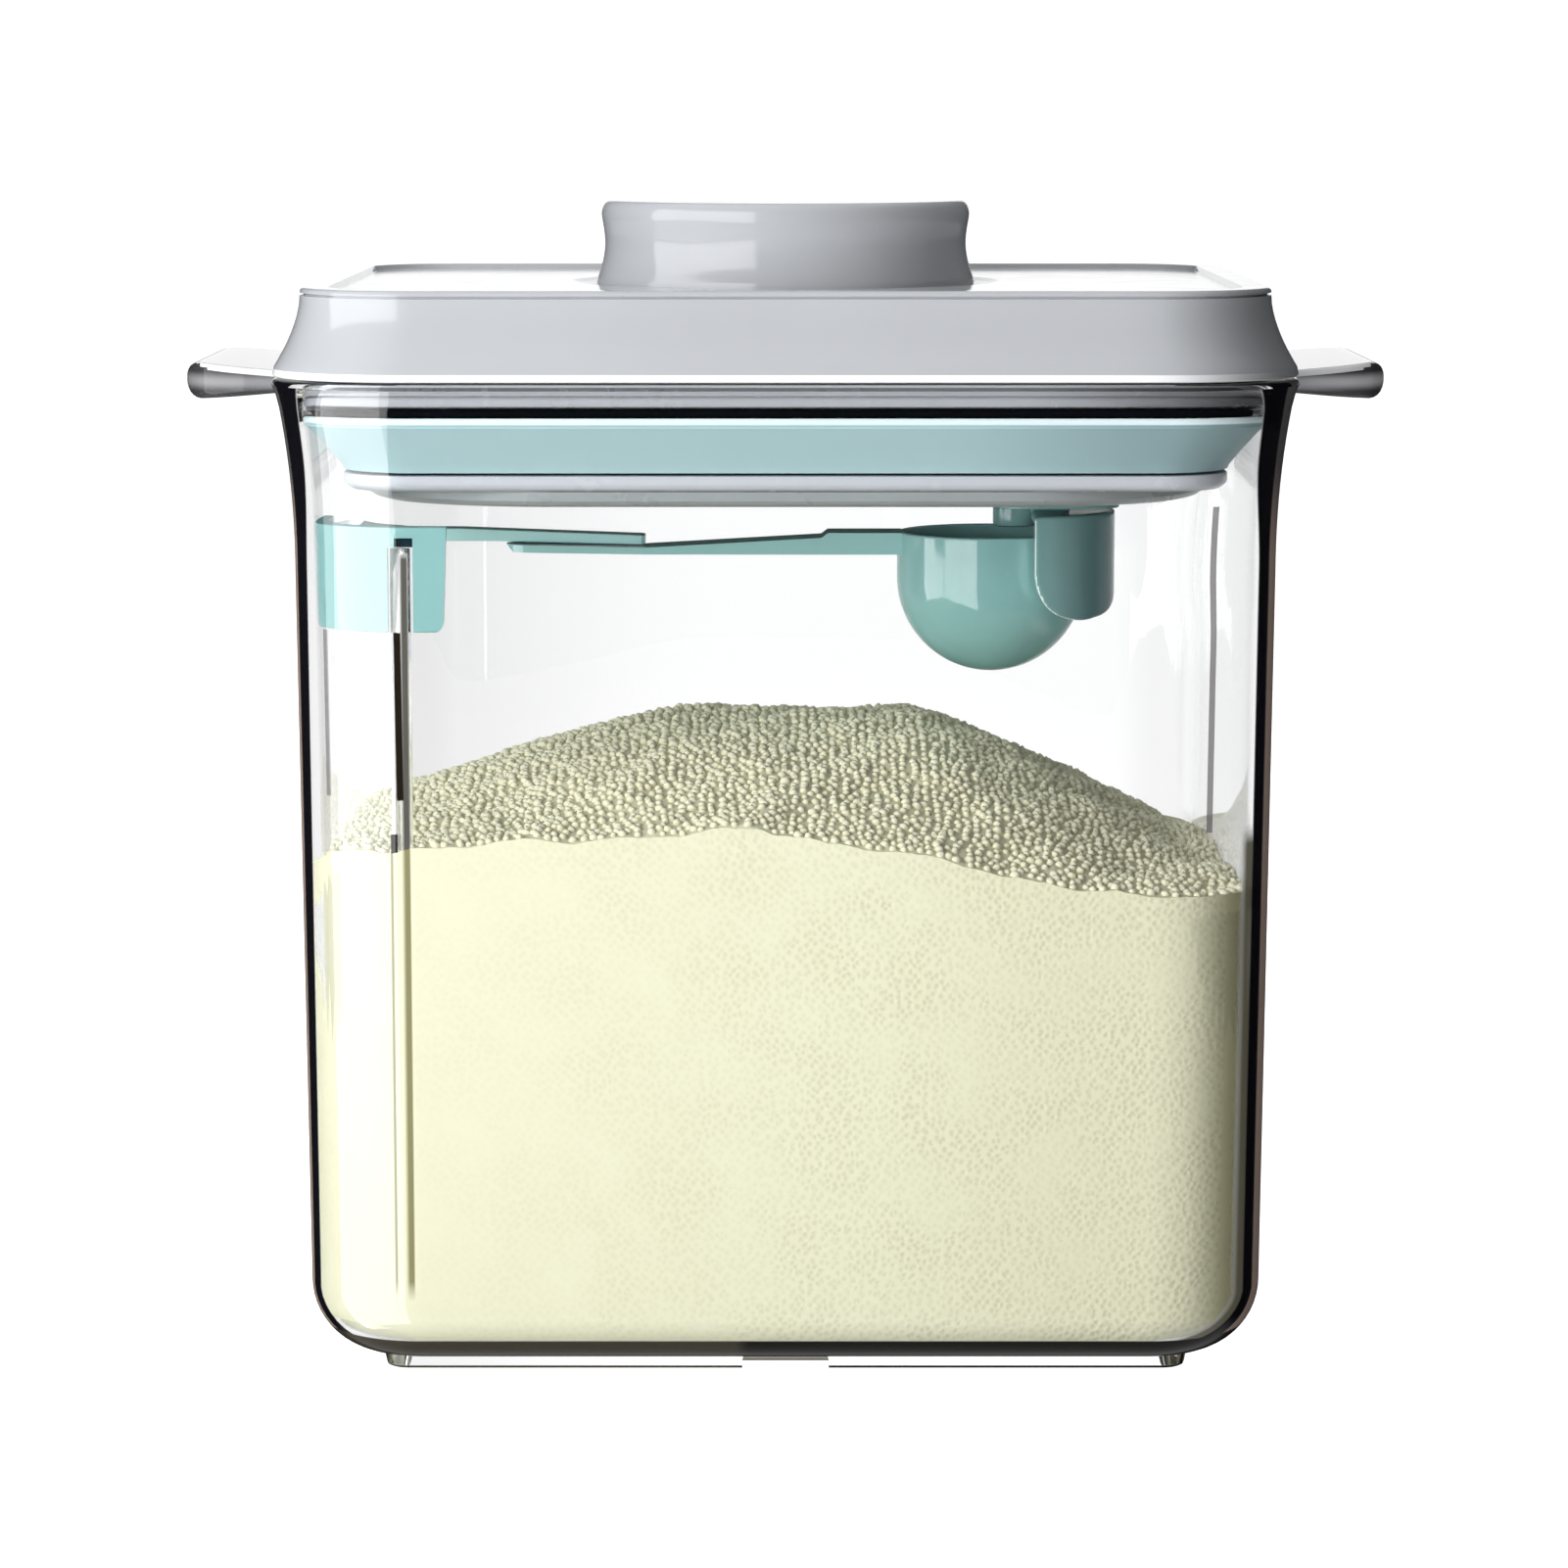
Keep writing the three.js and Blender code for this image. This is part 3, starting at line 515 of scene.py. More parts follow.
scoopLight = {"axis": 0, "colour": (0.37, 0.66, 0.645), "over": (28, 17)}

grey = (0.455, 0.468, 0.49), (0.44, 0.452, 0.476), 0.08, 0.12, 1.5, 0.005
# the lid's lower lip is a painted highlight and its right side painted shade
greyGloss = mouldedPlastic("greyGloss", *grey, edges=(lidLipHighlight, lidShade))
greyButton = mouldedPlastic("greyButton", *grey)
# the collar is painted darker to the right as shade
greyCollar = mouldedPlastic("greyCollar", (0.425, 0.44, 0.465), (0.41, 0.425, 0.45), 0.2, 0.3, edges=(collarShade,))
greyInner = mouldedPlastic("greyInner", (0.56, 0.58, 0.62), (0.54, 0.56, 0.6), 0.2, 0.3)
greyShade = mouldedPlastic("greyShade", (0.32, 0.345, 0.35), (0.3, 0.325, 0.33), 0.25, 0.35)
blackInner = mouldedPlastic("blackInner", (0.002, 0.003, 0.005), (0.003, 0.004, 0.007), 0.6, 0.7, specular=0)
# the gasket's lip is a painted highlight and its right side painted shade
silicone = mouldedPlastic("silicone", (0.44, 0.625, 0.645), (0.43, 0.61, 0.63), 0.4, 0.55, 1.42, 0.03, 0.4,
                          (gasketShade, gasketLipHighlight))
tealTones = (0.275, 0.53, 0.515), (0.265, 0.51, 0.495)
tealSkin = 0.07, 0.12, 1.5, 0.006
teal = mouldedPlastic("tealPlastic", *tealTones, *tealSkin, 0.8, rim=0.05)
# the scoop's teal is painted lighter towards its left part and handle: painted light
tealScoop = mouldedPlastic("tealScoop", *tealTones, *tealSkin, 1.0, (scoopLight,), 0.05)
# the clip's teal is a little darker, and darker still to the right: painted shade
tealClip = mouldedPlastic("tealClip", (0.25, 0.47, 0.46), (0.24, 0.45, 0.44), *tealSkin, 0.8, (clipShade,), 0.05)
# a paler teal for the leveller's arm: painted light where the lid shades it
tealArmPaintedLight = mouldedPlastic("tealArmPaintedLight", (0.47, 0.77, 0.755), (0.455, 0.75, 0.735), *tealSkin, 0.8)
# a near-black teal for the pocket at the top of the leveller's slot: painted shade
tealPocketShade = mouldedPlastic("tealPocketShade", (0.006, 0.02, 0.03), (0.008, 0.024, 0.034), 0.4, 0.5, specular=0.1)
# a pale teal for a painted highlight along the clip's edge
tealShine = mouldedPlastic("tealShine", (0.86, 0.97, 0.96), (0.84, 0.95, 0.94), 0.1, 0.15, specular=0.8)
print("materials are made")

# The clear jar

jarSize = {
    "width": 144.9, "depth": 115.9, "corner": 17.5, "draft": 1.05, "wall": 2.8,
    "flareOut": 2.95, "flareFoot": 120, "rimTop": 148.8, "rimHeight": 4.2, "seatTop": 144,
    "floor": 5.6, "underside": 2.6, "baseRound": 10.5, "innerRound": 5.5, "mouth": 71.2,
    "footWidth": 120.5, "footDepth": 90, "footCorner": 3.5, "footRing": 2.6, "notch": 13,
    "gripReach": 91.2, "gripHalf": 26, "gripLow": 144.4, "gripHigh": 149.9,
    "ribX": -55.8, "ribWidth": 2.9, "ribProud": 1.3, "ribTop": 124.9, "bladeLow": 112.6,
}
sideLess = (jarSize["width"] - jarSize["depth"]) / 2
innerCorner = jarSize["corner"] - jarSize["wall"]
gap = 0.3


def outsideHalf(z):
    j = jarSize
    straight = j["width"] / 2 - j["draft"] * (1 - min(z, j["flareFoot"]) / j["flareFoot"])
    up = max(0, (z - j["flareFoot"]) / (j["rimTop"] - j["flareFoot"]))
    return straight + j["flareOut"] * up ** 2.2


def insideHalf(z):
    j = jarSize
    throat = j["width"] / 2 - j["wall"]
    straight = throat - j["draft"] * (1 - min(z, j["flareFoot"]) / j["flareFoot"])
    up = max(0, min(1, (z - j["flareFoot"]) / (j["seatTop"] - j["flareFoot"])))
    return straight + (j["mouth"] - throat) * up ** 2


# sections that round out from a bottom to a side
def roundedFoot(low, half, edgeRadius, corner, turns=steady(0, 90, 15)):
    sections = []
    for turn in turns:
        inward = edgeRadius * (1 - sine(turn))
        sections.append([low + edgeRadius * (1 - cosine(turn)), half - inward, max(corner - inward, 0.5)])
    return sections


# a grip through upright rings, from its root to its thicker, rounded tip; its corners are round in plan
def makeGrip(side):
    j = jarSize
    root, tip, middle = 72, j["gripReach"], (j["gripLow"] + j["gripHigh"]) / 2
    thick, nose, corner = (j["gripHigh"] - j["gripLow"]) / 2, 2.9, 11
    thin = thick - 1.4
    rings = []
    for x in steady(root, tip - nose, 14) + [tip - nose * (1 - sine(a)) for a in (15, 30, 45, 58, 70, 80, 86)]:
        rounded = math.sqrt(max(0, 1 - max(0, (x - tip + nose) / nose) ** 2))
        tall = (thin + (thick - thin) * min(1, (x - root) / (tip - nose - root))) * rounded
        wide = j["gripHalf"] - corner + math.sqrt(corner ** 2 - max(0, x - tip + corner) ** 2) - 1.5 * (1 - rounded)
        rings.append([(side * x, y, middle + z) for y, z in roundedRect(wide, tall, min(1.3, tall * 0.85), 6)])
    return skin("grip", rings if side > 0 else [ring[::-1] for ring in rings])


# the guide rib on the inside of the front wall, rounded across and faded out at its foot
def makeRib():
    j = jarSize
    half = j["ribWidth"] / 2
    foot, rings = j["floor"] + 7.6, []
    levels = [(foot, 0.02), (foot + 0.4, 0.35), (foot + 1, 0.7), (foot + 1.8, 0.95), (foot + 2.6, 1)]
    levels += [(z, 1) for z in steady(foot + 6, j["bladeLow"], 11) + [118, j["ribTop"] - 1.2, j["ribTop"]]]
    for z, share in levels:
        wallY = -(insideHalf(z) - sideLess)
        ring = [(j["ribX"] - half, wallY - 0.6, z)]
        for i in range(13):
            angle = math.pi * (1 - i / 12)
            ring.append((j["ribX"] + math.cos(angle) * half, wallY + math.sin(angle) * j["ribProud"] * share, z))
        rings.append(ring + [(j["ribX"] + half, wallY - 0.6, z)])
    return skin("rib", rings)


# gives each face of the jar the clear plastic for its place, with painted dark lines on the guide rib and by the inner
# corners, and painted shade, a painted highlight and a pale painted top on the grips
def finishJar(jar):
    j = jarSize
    looks = [clearOuter, clearInner, brownLine, greyLine, tealLine, gripSide, gripShine, gripTop]
    for material in looks:
        jar.data.materials.append(material)
    for face in jar.data.polygons:
        x, y, z = (c / mm for c in face.center)
        normal = face.normal
        inside = insideHalf(z)
        fromRib = x - j["ribX"]
        onRib = abs(fromRib) < j["ribWidth"] / 2 + 0.02 and 13 < z < j["ribTop"] + 0.1
        onRib = onRib and sideLess - inside + 0.02 < y < -40
        look = clearOuter
        if abs(x) > outsideHalf(z) + 0.4 and z > 140:
            leastShine = 0.3 if abs(x) < j["gripReach"] - 2.6 else 0.75
            look = gripTop if normal.z > 0.95 else gripShine if normal.z > leastShine else gripSide
        elif onRib:
            look = clearInner
            if z > j["bladeLow"]:
                look = tealLine if fromRib > 0.1 else look
            elif 0.4 < abs(fromRib) < 1:
                look = brownLine
        elif z > j["underside"] + 0.05 and (normal.x * x + normal.y * y < -0.5 or (normal.z > 0.7 and z < 12)):
            look = clearInner
            fromX, fromY = abs(x) - (inside - innerCorner), abs(y) - (inside - sideLess - innerCorner)
            turn = math.degrees(math.atan2(fromX, fromY))
            onLeft = x < 0 and 88 < z < j["bladeLow"] and 48.7 < turn < 52.6
            if y < 0 and (onLeft or x > 0 and 83 < z < 131 and 26.3 < turn < 30):
                look = greyLine
        face.material_index = looks.index(look)


def makeJar():
    j = jarSize
    corner = j["corner"]
    outside = roundedFoot(j["underside"], outsideHalf(j["baseRound"]), j["baseRound"], corner)
    flare = steady(j["flareFoot"], j["rimTop"] - j["rimHeight"], 12)
    outside += [[z, outsideHalf(z), corner + outsideHalf(z) - j["width"] / 2] for z in flare]
    rim, rimCorner = outsideHalf(j["rimTop"]) + 0.2, corner + j["flareOut"]
    outside.append([j["rimTop"] - 2.2, outsideHalf(j["rimTop"] - 2.2) + 0.14, rimCorner - 0.2])
    rounding = [(j["rimTop"] - 0.9 + 0.9 * sine(turn), 0.9 * (1 - cosine(turn))) for turn in (0, 30, 60, 90)]
    outside += stacked(rim, rimCorner, rounding)
    jar = loft("jarShell", outside, sideLess)

    footLess = (j["footWidth"] - j["footDepth"]) / 2
    halfFoot = j["footWidth"] / 2
    foot = stacked(halfFoot, j["footCorner"], [(0, 0.5), (0.15, 0.15), (0.5, 0), (j["underside"] + 1, -0.6)])
    join(jar, loft("foot", foot, footLess, 16))
    hollow = [[-1, halfFoot - j["footRing"], 1], [j["underside"], halfFoot - j["footRing"] - 0.4, 1]]
    cut(jar, loft("footHollow", hollow, footLess, 16))
    join(jar, makeGrip(1), makeGrip(-1))

    inside = roundedFoot(j["floor"], insideHalf(j["innerRound"]), j["innerRound"], innerCorner)
    inside += [[z, insideHalf(z), innerCorner] for z in (83, 88, j["bladeLow"])]
    flare = steady(j["flareFoot"], j["seatTop"], 12) + [j["rimTop"] + 5]
    inside += [[z, insideHalf(z), innerCorner + 0.5] for z in flare]
    cut(jar, loft("inside", inside, sideLess))
    half = j["notch"] / 2
    cut(jar, box("notch", (-half, -100, -1), (half, 100, 1.3)))
    join(jar, makeRib())
    shadeSmoothly(jar)
    finishJar(jar)
    return place(jar, "jar", [])


makeJar()

# The lid

lidSize = {
    "top": 161.3, "edgeLoss": 4, "recess": 0.7, "recessInset": 4, "seam": 0.6,
    "wellRadius": 29.8, "wellBevel": 3.4, "neckTop": 145.4,
    "gasketTop": 144.1, "gasketBottom": 135.55, "coreHalf": 62.8, "coreCorner": 9.5,
    "baseThick": 2.2, "baseHalf": 65.1, "baseCorner": 9.9, "plateBottom": 130.4, "plateCorner": 30.3,
}


# the sides flare out downwards; a fine seam runs round them just under the top edge
def makeCover():
    s = lidSize
    bottom, half, corner = jarSize["rimTop"] + gap, jarSize["width"] / 2 + jarSize["flareOut"], jarSize["corner"] + 2.4
    top = s["top"] + s["recess"]
    sections = roundedFoot(bottom, half, 0.35, corner, (0, 22, 45, 68, 90))
    for share in steady(0.04, 0.88, 9):
        inward = s["edgeLoss"] * (1 - (1 - share) ** 1.7)
        sections.append([bottom + 1 + (top - bottom - 2.2) * share, half - inward, corner - inward * 0.5])
    topHalf = half - s["edgeLoss"]
    levels = [(top - 1.15, 0), (top - 1.1, s["seam"]), (top - 0.82, s["seam"]), (top - 0.78, 0)]
    levels += [(top - 0.75 + 0.75 * sine(turn), 0.8 * (1 - cosine(turn))) for turn in steady(15, 90, 6)]
    sections += stacked(topHalf, corner - 2.3, levels)
    cover = loft("lidCover", sections, sideLess)
    inset = topHalf - s["recessInset"]
    recess = [[s["top"], inset - 0.6, corner - 7.4], [s["top"] + 2, inset + 0.6, corner - 6.2]]
    cut(cover, loft("recess", recess, sideLess))
    wide = s["wellRadius"] + s["wellBevel"]
    well = [(0, bottom - 2), (s["wellRadius"], bottom - 2), (s["wellRadius"], s["top"] - 1)]
    well += [(wide, s["top"]), (wide, s["top"] + 3), (0, s["top"] + 3)]
    cut(cover, turned("well", well))
    return place(shadeSmoothly(cover, 30), "lid_cover", [greyGloss])


def makeCollar():
    low, top, groove, deep = lidSize["neckTop"] + gap, jarSize["rimTop"], 147.35, 0.8
    levels = [(low, 0.5), (low + 0.15, 0.15), (low + 0.5, 0), (groove - 0.25, 0), (groove - 0.2, deep)]
    levels += [(groove + 0.2, deep), (groove + 0.25, 0), (top, 0)]
    collar = loft("lidCollar", stacked(jarSize["mouth"] - 0.4, innerCorner, levels), sideLess)
    well = [(0, 140), (lidSize["wellRadius"], 140), (lidSize["wellRadius"], 152), (0, 152)]
    cut(collar, turned("collarWell", well))
    return place(shadeSmoothly(collar), "lid_collar", [greyCollar])


def makeNeck():
    s = lidSize
    half, shoulder, corner = jarSize["mouth"] - 2.6, s["gasketTop"] + 0.2, jarSize["corner"] - 5
    sections = [[s["gasketBottom"], s["coreHalf"], s["coreCorner"]], [shoulder - 0.02, s["coreHalf"], s["coreCorner"]]]
    sections += [[shoulder, half, corner], [s["neckTop"], half, corner]]
    neck = roundEdges(loft("lidNeck", sections, sideLess), 0.1, 35, 2)
    return place(shadeSmoothly(neck), "lid_neck", [blackInner])


def makeGasket():
    s = lidSize
    lip, corner, low, high = jarSize["mouth"] - gap, innerCorner, s["gasketBottom"], s["gasketTop"]
    foot = lip - 5.5
    outer = [[low, foot - 0.5, corner - 4.4], [low + 0.12, foot - 0.2, corner - 4.1], [low + 0.6, foot, corner - 4]]
    for share in steady(0.15, 1, 8):
        z = low + 0.6 + (high - 1.6 - low - 0.6) * share
        outer.append([z, foot + (lip - foot - 0.25) * share ** 1.05, corner - 4 + 3.8 * share])
    for turn in (20, 60, 100, 140, 170):
        inward = 0.45 * (1 - sine(turn))
        outer.append([high - 0.75 - 0.7 * cosine(turn), lip - inward, corner - inward])
    outer.append([high, lip - 1.1, corner - 1.1])
    seal = loft("gasketSeal", outer, sideLess)
    inner = [[z, s["coreHalf"] + gap, s["coreCorner"] + gap] for z in (low - 2, high + 2)]
    cut(seal, loft("gasketHollow", inner, sideLess))
    shadeSmoothly(seal)
    # the gasket's top faces take the neck's black: painted shade
    for face in seal.data.polygons:  # its top lies in the dark under the neck
        face.material_index = 1 if face.normal.z > 0.9 and face.center.z > (high - 0.05) * mm else 0
    return place(seal, "gasket", [silicone, blackInner])


def makePlates():
    s = lidSize
    top = s["gasketBottom"] - gap
    bottom, half, low = top - s["baseThick"], s["baseHalf"], s["plateBottom"]
    levels = [(bottom - gap + 0.02, 1.1), (bottom + 0.15, 0.45), (bottom + 0.5, 0.1), (bottom + 0.9, 0)]
    levels += [(top - 0.5, 0), (top - 0.15, 0.1), (top, 0.4)]
    base = loft("lidBase", stacked(half, s["baseCorner"], levels), sideLess)
    place(shadeSmoothly(base), "lid_base", [greyInner])
    levels = [(low, 1.7), (low + 0.15, 1.0), (low + 0.5, 0.4), (low + 1, 0), (bottom - gap, 0)]
    plate = loft("lidPlate", stacked(half - 1, s["plateCorner"], levels), sideLess, 32)
    place(shadeSmoothly(plate), "lid_plate", [greyShade])


buttonSize = {"radius": 29.2, "top": 173.8, "travel": 11.5, "wall": 3, "roof": 2.4, "edge": 1.8}


def makeButton():
    b = buttonSize
    radius, top = b["radius"], b["top"]
    skirt, inner, roof = lidSize["neckTop"] + 0.5 + b["travel"], radius - b["wall"], top - b["roof"]
    profile = [(0, roof), (inner - 0.8, roof), (inner - 0.3, roof - 0.3), (inner, skirt)]
    profile += [(radius - 0.3, skirt), (radius - 0.08, skirt + 0.08), (radius, skirt + 0.3)]
    low, high = lidSize["top"], top - b["edge"] - 0.4
    for share in steady(0, 1, 14):
        waist = 0.8 * share + 0.9 * math.sin(math.pi * share) ** 1.2
        profile.append((radius - waist, low + (high - low) * share))
    shoulder = radius - 0.8
    for turn in steady(10, 90, 9):
        profile.append((shoulder - 1.35 + 1.3 * cosine(turn), top - 1.9 + 1.9 * sine(turn)))
    profile += [(shoulder - 3, top), (0, top)]
    button = shadeSmoothly(turned("pushButton", profile, 0, 192))
    return place(button, "button", [greyButton], "button")


makeCover()
makeCollar()
makeNeck()
makeGasket()
makePlates()
makeButton()
print("the lid is made")

# The scoop and its clip

scoopSize = {
    "x": 32, "radius": 14.6, "rim": 122.7, "wall": 1.4, "handleLow": 119.2, "tip": -43.5, "step": 6.6,
    "rootHalf": 4.6, "tipHalf": 4, "flat": -21.8,
}


def ballProfile(radius, centre):
    return [(radius * sine(turn), centre - radius * cosine(turn)) for turn in steady(0, 90, 21)]


def makeScoop():
    s = scoopSize
    radius, rim, x, low = s["radius"], s["rim"], s["x"], s["handleLow"]
    centre, inner = rim - 7.4, radius - s["wall"]
    profile = ballProfile(radius, centre) + [(radius, rim - 0.4), (radius - 0.12, rim - 0.12), (radius - 0.4, rim)]
    profile += [(inner + 0.4, rim), (inner + 0.12, rim - 0.12), (inner, rim - 0.4)] + ballProfile(inner, centre)[::-1]
    bowl = turned("scoop", profile, x, 96)
    root, tip, step = x - inner - 0.7, s["tip"], s["step"]
    side = [(tip + 1.2, low + 0.3), (s["flat"], low), (root, low), (root, rim), (step, rim), (step - 1, rim - 0.8)]
    side += [(s["flat"], low + 1.1), (tip, low + 1.5)]
    plan = [(x, -s["rootHalf"]), (x, s["rootHalf"]), (tip + s["tipHalf"], s["tipHalf"])]
    for turn in steady(90, 270, 17)[1:]:
        plan.append((tip + s["tipHalf"] * (1 + cosine(turn)), s["tipHalf"] * sine(turn)))
    handle = combine(slab("handle", plan, 110, 130), slab("handleSide", side, -6, 6, True), "INTERSECT")
    join(bowl, handle)
    return place(shadeSmoothly(roundEdges(bowl, 0.35, 40), 40), "scoop", [tealScoop])


# seen from the front, the clip's lower corners are rounded, the left one more
def makeClip():
    s = scoopSize
    x, outer, inner = s["x"], s["radius"] + 4.7, s["radius"] + 1
    footLow, top, bottom, left, roof = 127.4, 126.4, 109.8, 38, 124.8
    clip = turned("scoopClip", [(0, bottom - 1), (outer, bottom - 1), (outer, top), (0, top)], x)
    cut(clip, turned("clipHollow", [(0, bottom - 2), (inner, bottom - 2), (inner, roof), (0, roof)], x))
    edge = x + outer
    side = [(edge + 1, top + 1), (left, top + 1), (left, bottom + 7.4)]
    side += bend((left, bottom + 7.4), (left + 0.6, bottom + 0.4), (left + 8, bottom), 12)
    side.append((edge - 3.2, bottom + 0.3))
    side += bend((edge - 3.2, bottom + 0.3), (edge - 0.4, bottom + 0.6), (edge, bottom + 3.2))
    side.append((edge + 1, bottom + 3.2))
    combine(clip, slab("clipSide", side, -25, 25, True), "INTERSECT")
    soften(clip, 0.25, 20)
    footLeft, low, high = 31.6, s["rim"] + 0.8, footLow + 1
    outline = [((footLeft + edge) / 2 + a, b) for a, b in roundedRect((edge - footLeft) / 2, 15, 5)]
    foot = roundEdges(slab("clipFoot", outline, footLow, lidSize["plateBottom"] - gap), 0.3, 40)
    post = [(0, low), (2.6, low), (3.1, low + 0.2), (3.3, low + 0.7), (3.3, high), (0, high)]
    web = roundEdges(box("clipWeb", (left, -4, roof + 0.4), (left + 6, 4, high)), 0.3)
    join(clip, foot, turned("clipPost", post, 35.6, 40), web)
    shadeSmoothly(clip, 40)
    # the faces along the clip's left and lower edge take a pale teal: a painted highlight
    for face in clip.data.polygons:  # light caught along the left and lower edge
        a, b, c = (value / mm for value in face.center)
        caught = c < roof + 1 and b < -6 and a < edge - 6 and face.normal.x * 0.8 + face.normal.z * 0.6 < -0.25
        face.material_index = 1 if caught else 0
    return place(clip, "scoop_holder", [tealClip, tealShine])


makeScoop()
makeClip()

# The leveller: a blade round the front left corner, a low strip along the left wall, and an arm on the strip

levellerSize = {
    "top": 128, "height": 15.4, "thick": 2, "frontEnd": -49.1, "bladeBack": -37, "stripEnd": 7, "stripLow": 119.6,
    "stripHigh": 122.3, "fit": 0.35, "armHalf": 2.4, "endHalf": 2.6, "armEnd": -21.8,
}


def makeLeveller():
    s = levellerSize
    top, bottom, fit, end, back = s["top"], s["top"] - s["height"], s["fit"], s["frontEnd"], s["bladeBack"]

    def ringAt(z, inset):
        return [z, insideHalf(z) - fit - inset, innerCorner - inset]

    outer = [ringAt(bottom, 0.3), ringAt(bottom + 0.1, 0.08)]
    outer += [ringAt(z, 0) for z in [bottom + 0.3] + steady(bottom + 2, top - 1, 8) + [top - 0.3]]
    outer += [ringAt(top - 0.1, 0.08), ringAt(top, 0.3)]
    band = loft("leveller", outer, sideLess)
    hollow = [ringAt(z, s["thick"]) for z in steady(bottom - 1, top + 1, 10)]
    cut(band, loft("bandHollow", hollow, sideLess))
    side = [(-80, bottom - 1), (end - 2, bottom - 1), (end - 2, bottom)]
    side += bend((end - 2, bottom), (end - 0.6, bottom), (end - 0.5, bottom + 1.8)) + [(end, top + 1), (-80, top + 1)]
    combine(band, slab("bandSide", side, -70, 70, True), "INTERSECT")
    cut(band, box("overStrip", (-80, back, s["stripHigh"]), (0, 80, top + 5)),
        box("underStrip", (-80, back, bottom - 5), (0, 80, s["stripLow"])),
        box("pastStrip", (-80, s["stripEnd"], bottom - 5), (0, 80, top + 5)))
    x, ribTop, slotHalf = jarSize["ribX"], jarSize["ribTop"], jarSize["ribWidth"] / 2 + fit
    front, pocketTop = -(insideHalf(ribTop) - sideLess) + fit, ribTop + 1.5
    cut(band, box("bandSlot", (x - slotHalf, -60, bottom - 2), (x + slotHalf, -40, ribTop + 0.1)),
        box("slotPocket", (x - 0.8, front - 2, ribTop - 1), (x + slotHalf, front + 0.9, pocketTop)))
    root = -(insideHalf(jarSize["flareFoot"]) - fit - s["thick"] / 2)
    wide, narrow, tip = s["endHalf"], s["armHalf"], s["armEnd"]
    half = [(root, -narrow - 4)] + bend((root, -narrow - 4), (root + 1.5, -narrow), (root + 6, -narrow))
    half += bend((root + 6, -narrow), (-40, -narrow), (tip - 0.6, -wide)) + [(tip, -wide + 0.6)]
    plan = half + [(a, -b) for a, b in reversed(half)]
    low = scoopSize["handleLow"] + 1.4
    rise = [(-80, low + 0.7), (-45, low + 0.6), (tip + 1, low)]
    rise += [(tip + 1, low + 1.5), (-50, low + 2.65), (-80, low + 2.9)]
    arm = combine(slab("arm", plan, low - 3, low + 5), slab("armSide", rise, -30, 30, True), "INTERSECT")
    join(band, roundEdges(arm, 0.4, 50, 4))
    shadeSmoothly(roundEdges(band, 0.2, 50), 40)
    # the pocket's near-black teal is painted shade, and the arm's paler teal painted light
    for face in band.data.polygons:  # the pocket at the top of the slot is dark, the arm is paler
        a, b, c = (value / mm for value in face.center)
        inPocket = abs(a - x) < slotHalf + 0.05 and front + 0.3 < b < -40 and ribTop - 1 < c < pocketTop + 0.05
        onArm = a > -66 and abs(b) < 6.5 and c > low - 0.5
        face.material_index = 1 if inPocket else 2 if onArm else 0
    return place(band, "leveller", [teal, tealPocketShade, tealArmPaintedLight])


makeLeveller()
print("the scoop, its clip and the leveller are made")

# The powder

powderSize = {
    "reach": 0.05, "columns": 180, "rows": 110, "arcRows": 20, "wallRows": 30,
    "ridgeTop": 92.9, "ridgeLeft": -15, "ridgeRight": 18, "ridgeY": 3, "leftSlope": 0.32, "rightSlope": 0.5,
    "ease": 8.5, "wallLift": 0.27, "wallFrom": 61.5,
    "frontX": -3, "frontTop": 83.6, "frontLeft": 0.055, "frontRight": 0.185, "frontFall": 9.9, "backFall": 9,
    "clump": 0.55, "clumpSize": 5.2, "fine": 0.25, "fineSize": 1.7,
}


def heapHeight(x, y):
    p = powderSize

    def eased(out):
        return math.hypot(max(0, out), p["ease"]) - p["ease"]

    high = p["ridgeTop"] - p["leftSlope"] * eased(p["ridgeLeft"] - x) - p["rightSlope"] * eased(x - p["ridgeRight"])
    high += p["wallLift"] * max(0, x - p["wallFrom"])
    along = x - p["frontX"]
    fall = -p["frontLeft"] * along if along < 0 else min(p["frontRight"] * along, p["frontFall"])
    half = jarSize["depth"] / 2 - jarSize["wall"]
    away = (p["ridgeY"] - y) / (half + p["ridgeY"]) if y < p["ridgeY"] else (y - p["ridgeY"]) / (half - p["ridgeY"])
    share = 1 - math.cos(min(1, away) * math.pi / 2)
    low = min(high, p["frontTop"] - fall if y < p["ridgeY"] else high - p["backFall"])
    rolls = 0.35 * math.sin(0.21 * x + 0.4) * math.cos(0.17 * y) + 0.3 * math.sin(0.43 * x - 0.31 * y + 1)
    return high + (low - high) * share + rolls


# clumps as rounded bumps round scattered points, with finer ones on them
def relief(x, y):
    p = powderSize
    coarse = noise.voronoi(Vector((x / p["clumpSize"], y / p["clumpSize"], 0)))[0]
    fine = noise.voronoi(Vector((x / p["fineSize"] + 7, y / p["fineSize"], 3)))[0]
    bump = p["clump"] * (0.5 - min(1, coarse[0] / 0.75) ** 2) + p["fine"] * (0.5 - min(1, fine[0] / 0.75) ** 2)
    return bump * (0.75 + 0.5 * noise.noise(Vector((x / 9, y / 9, 5))))


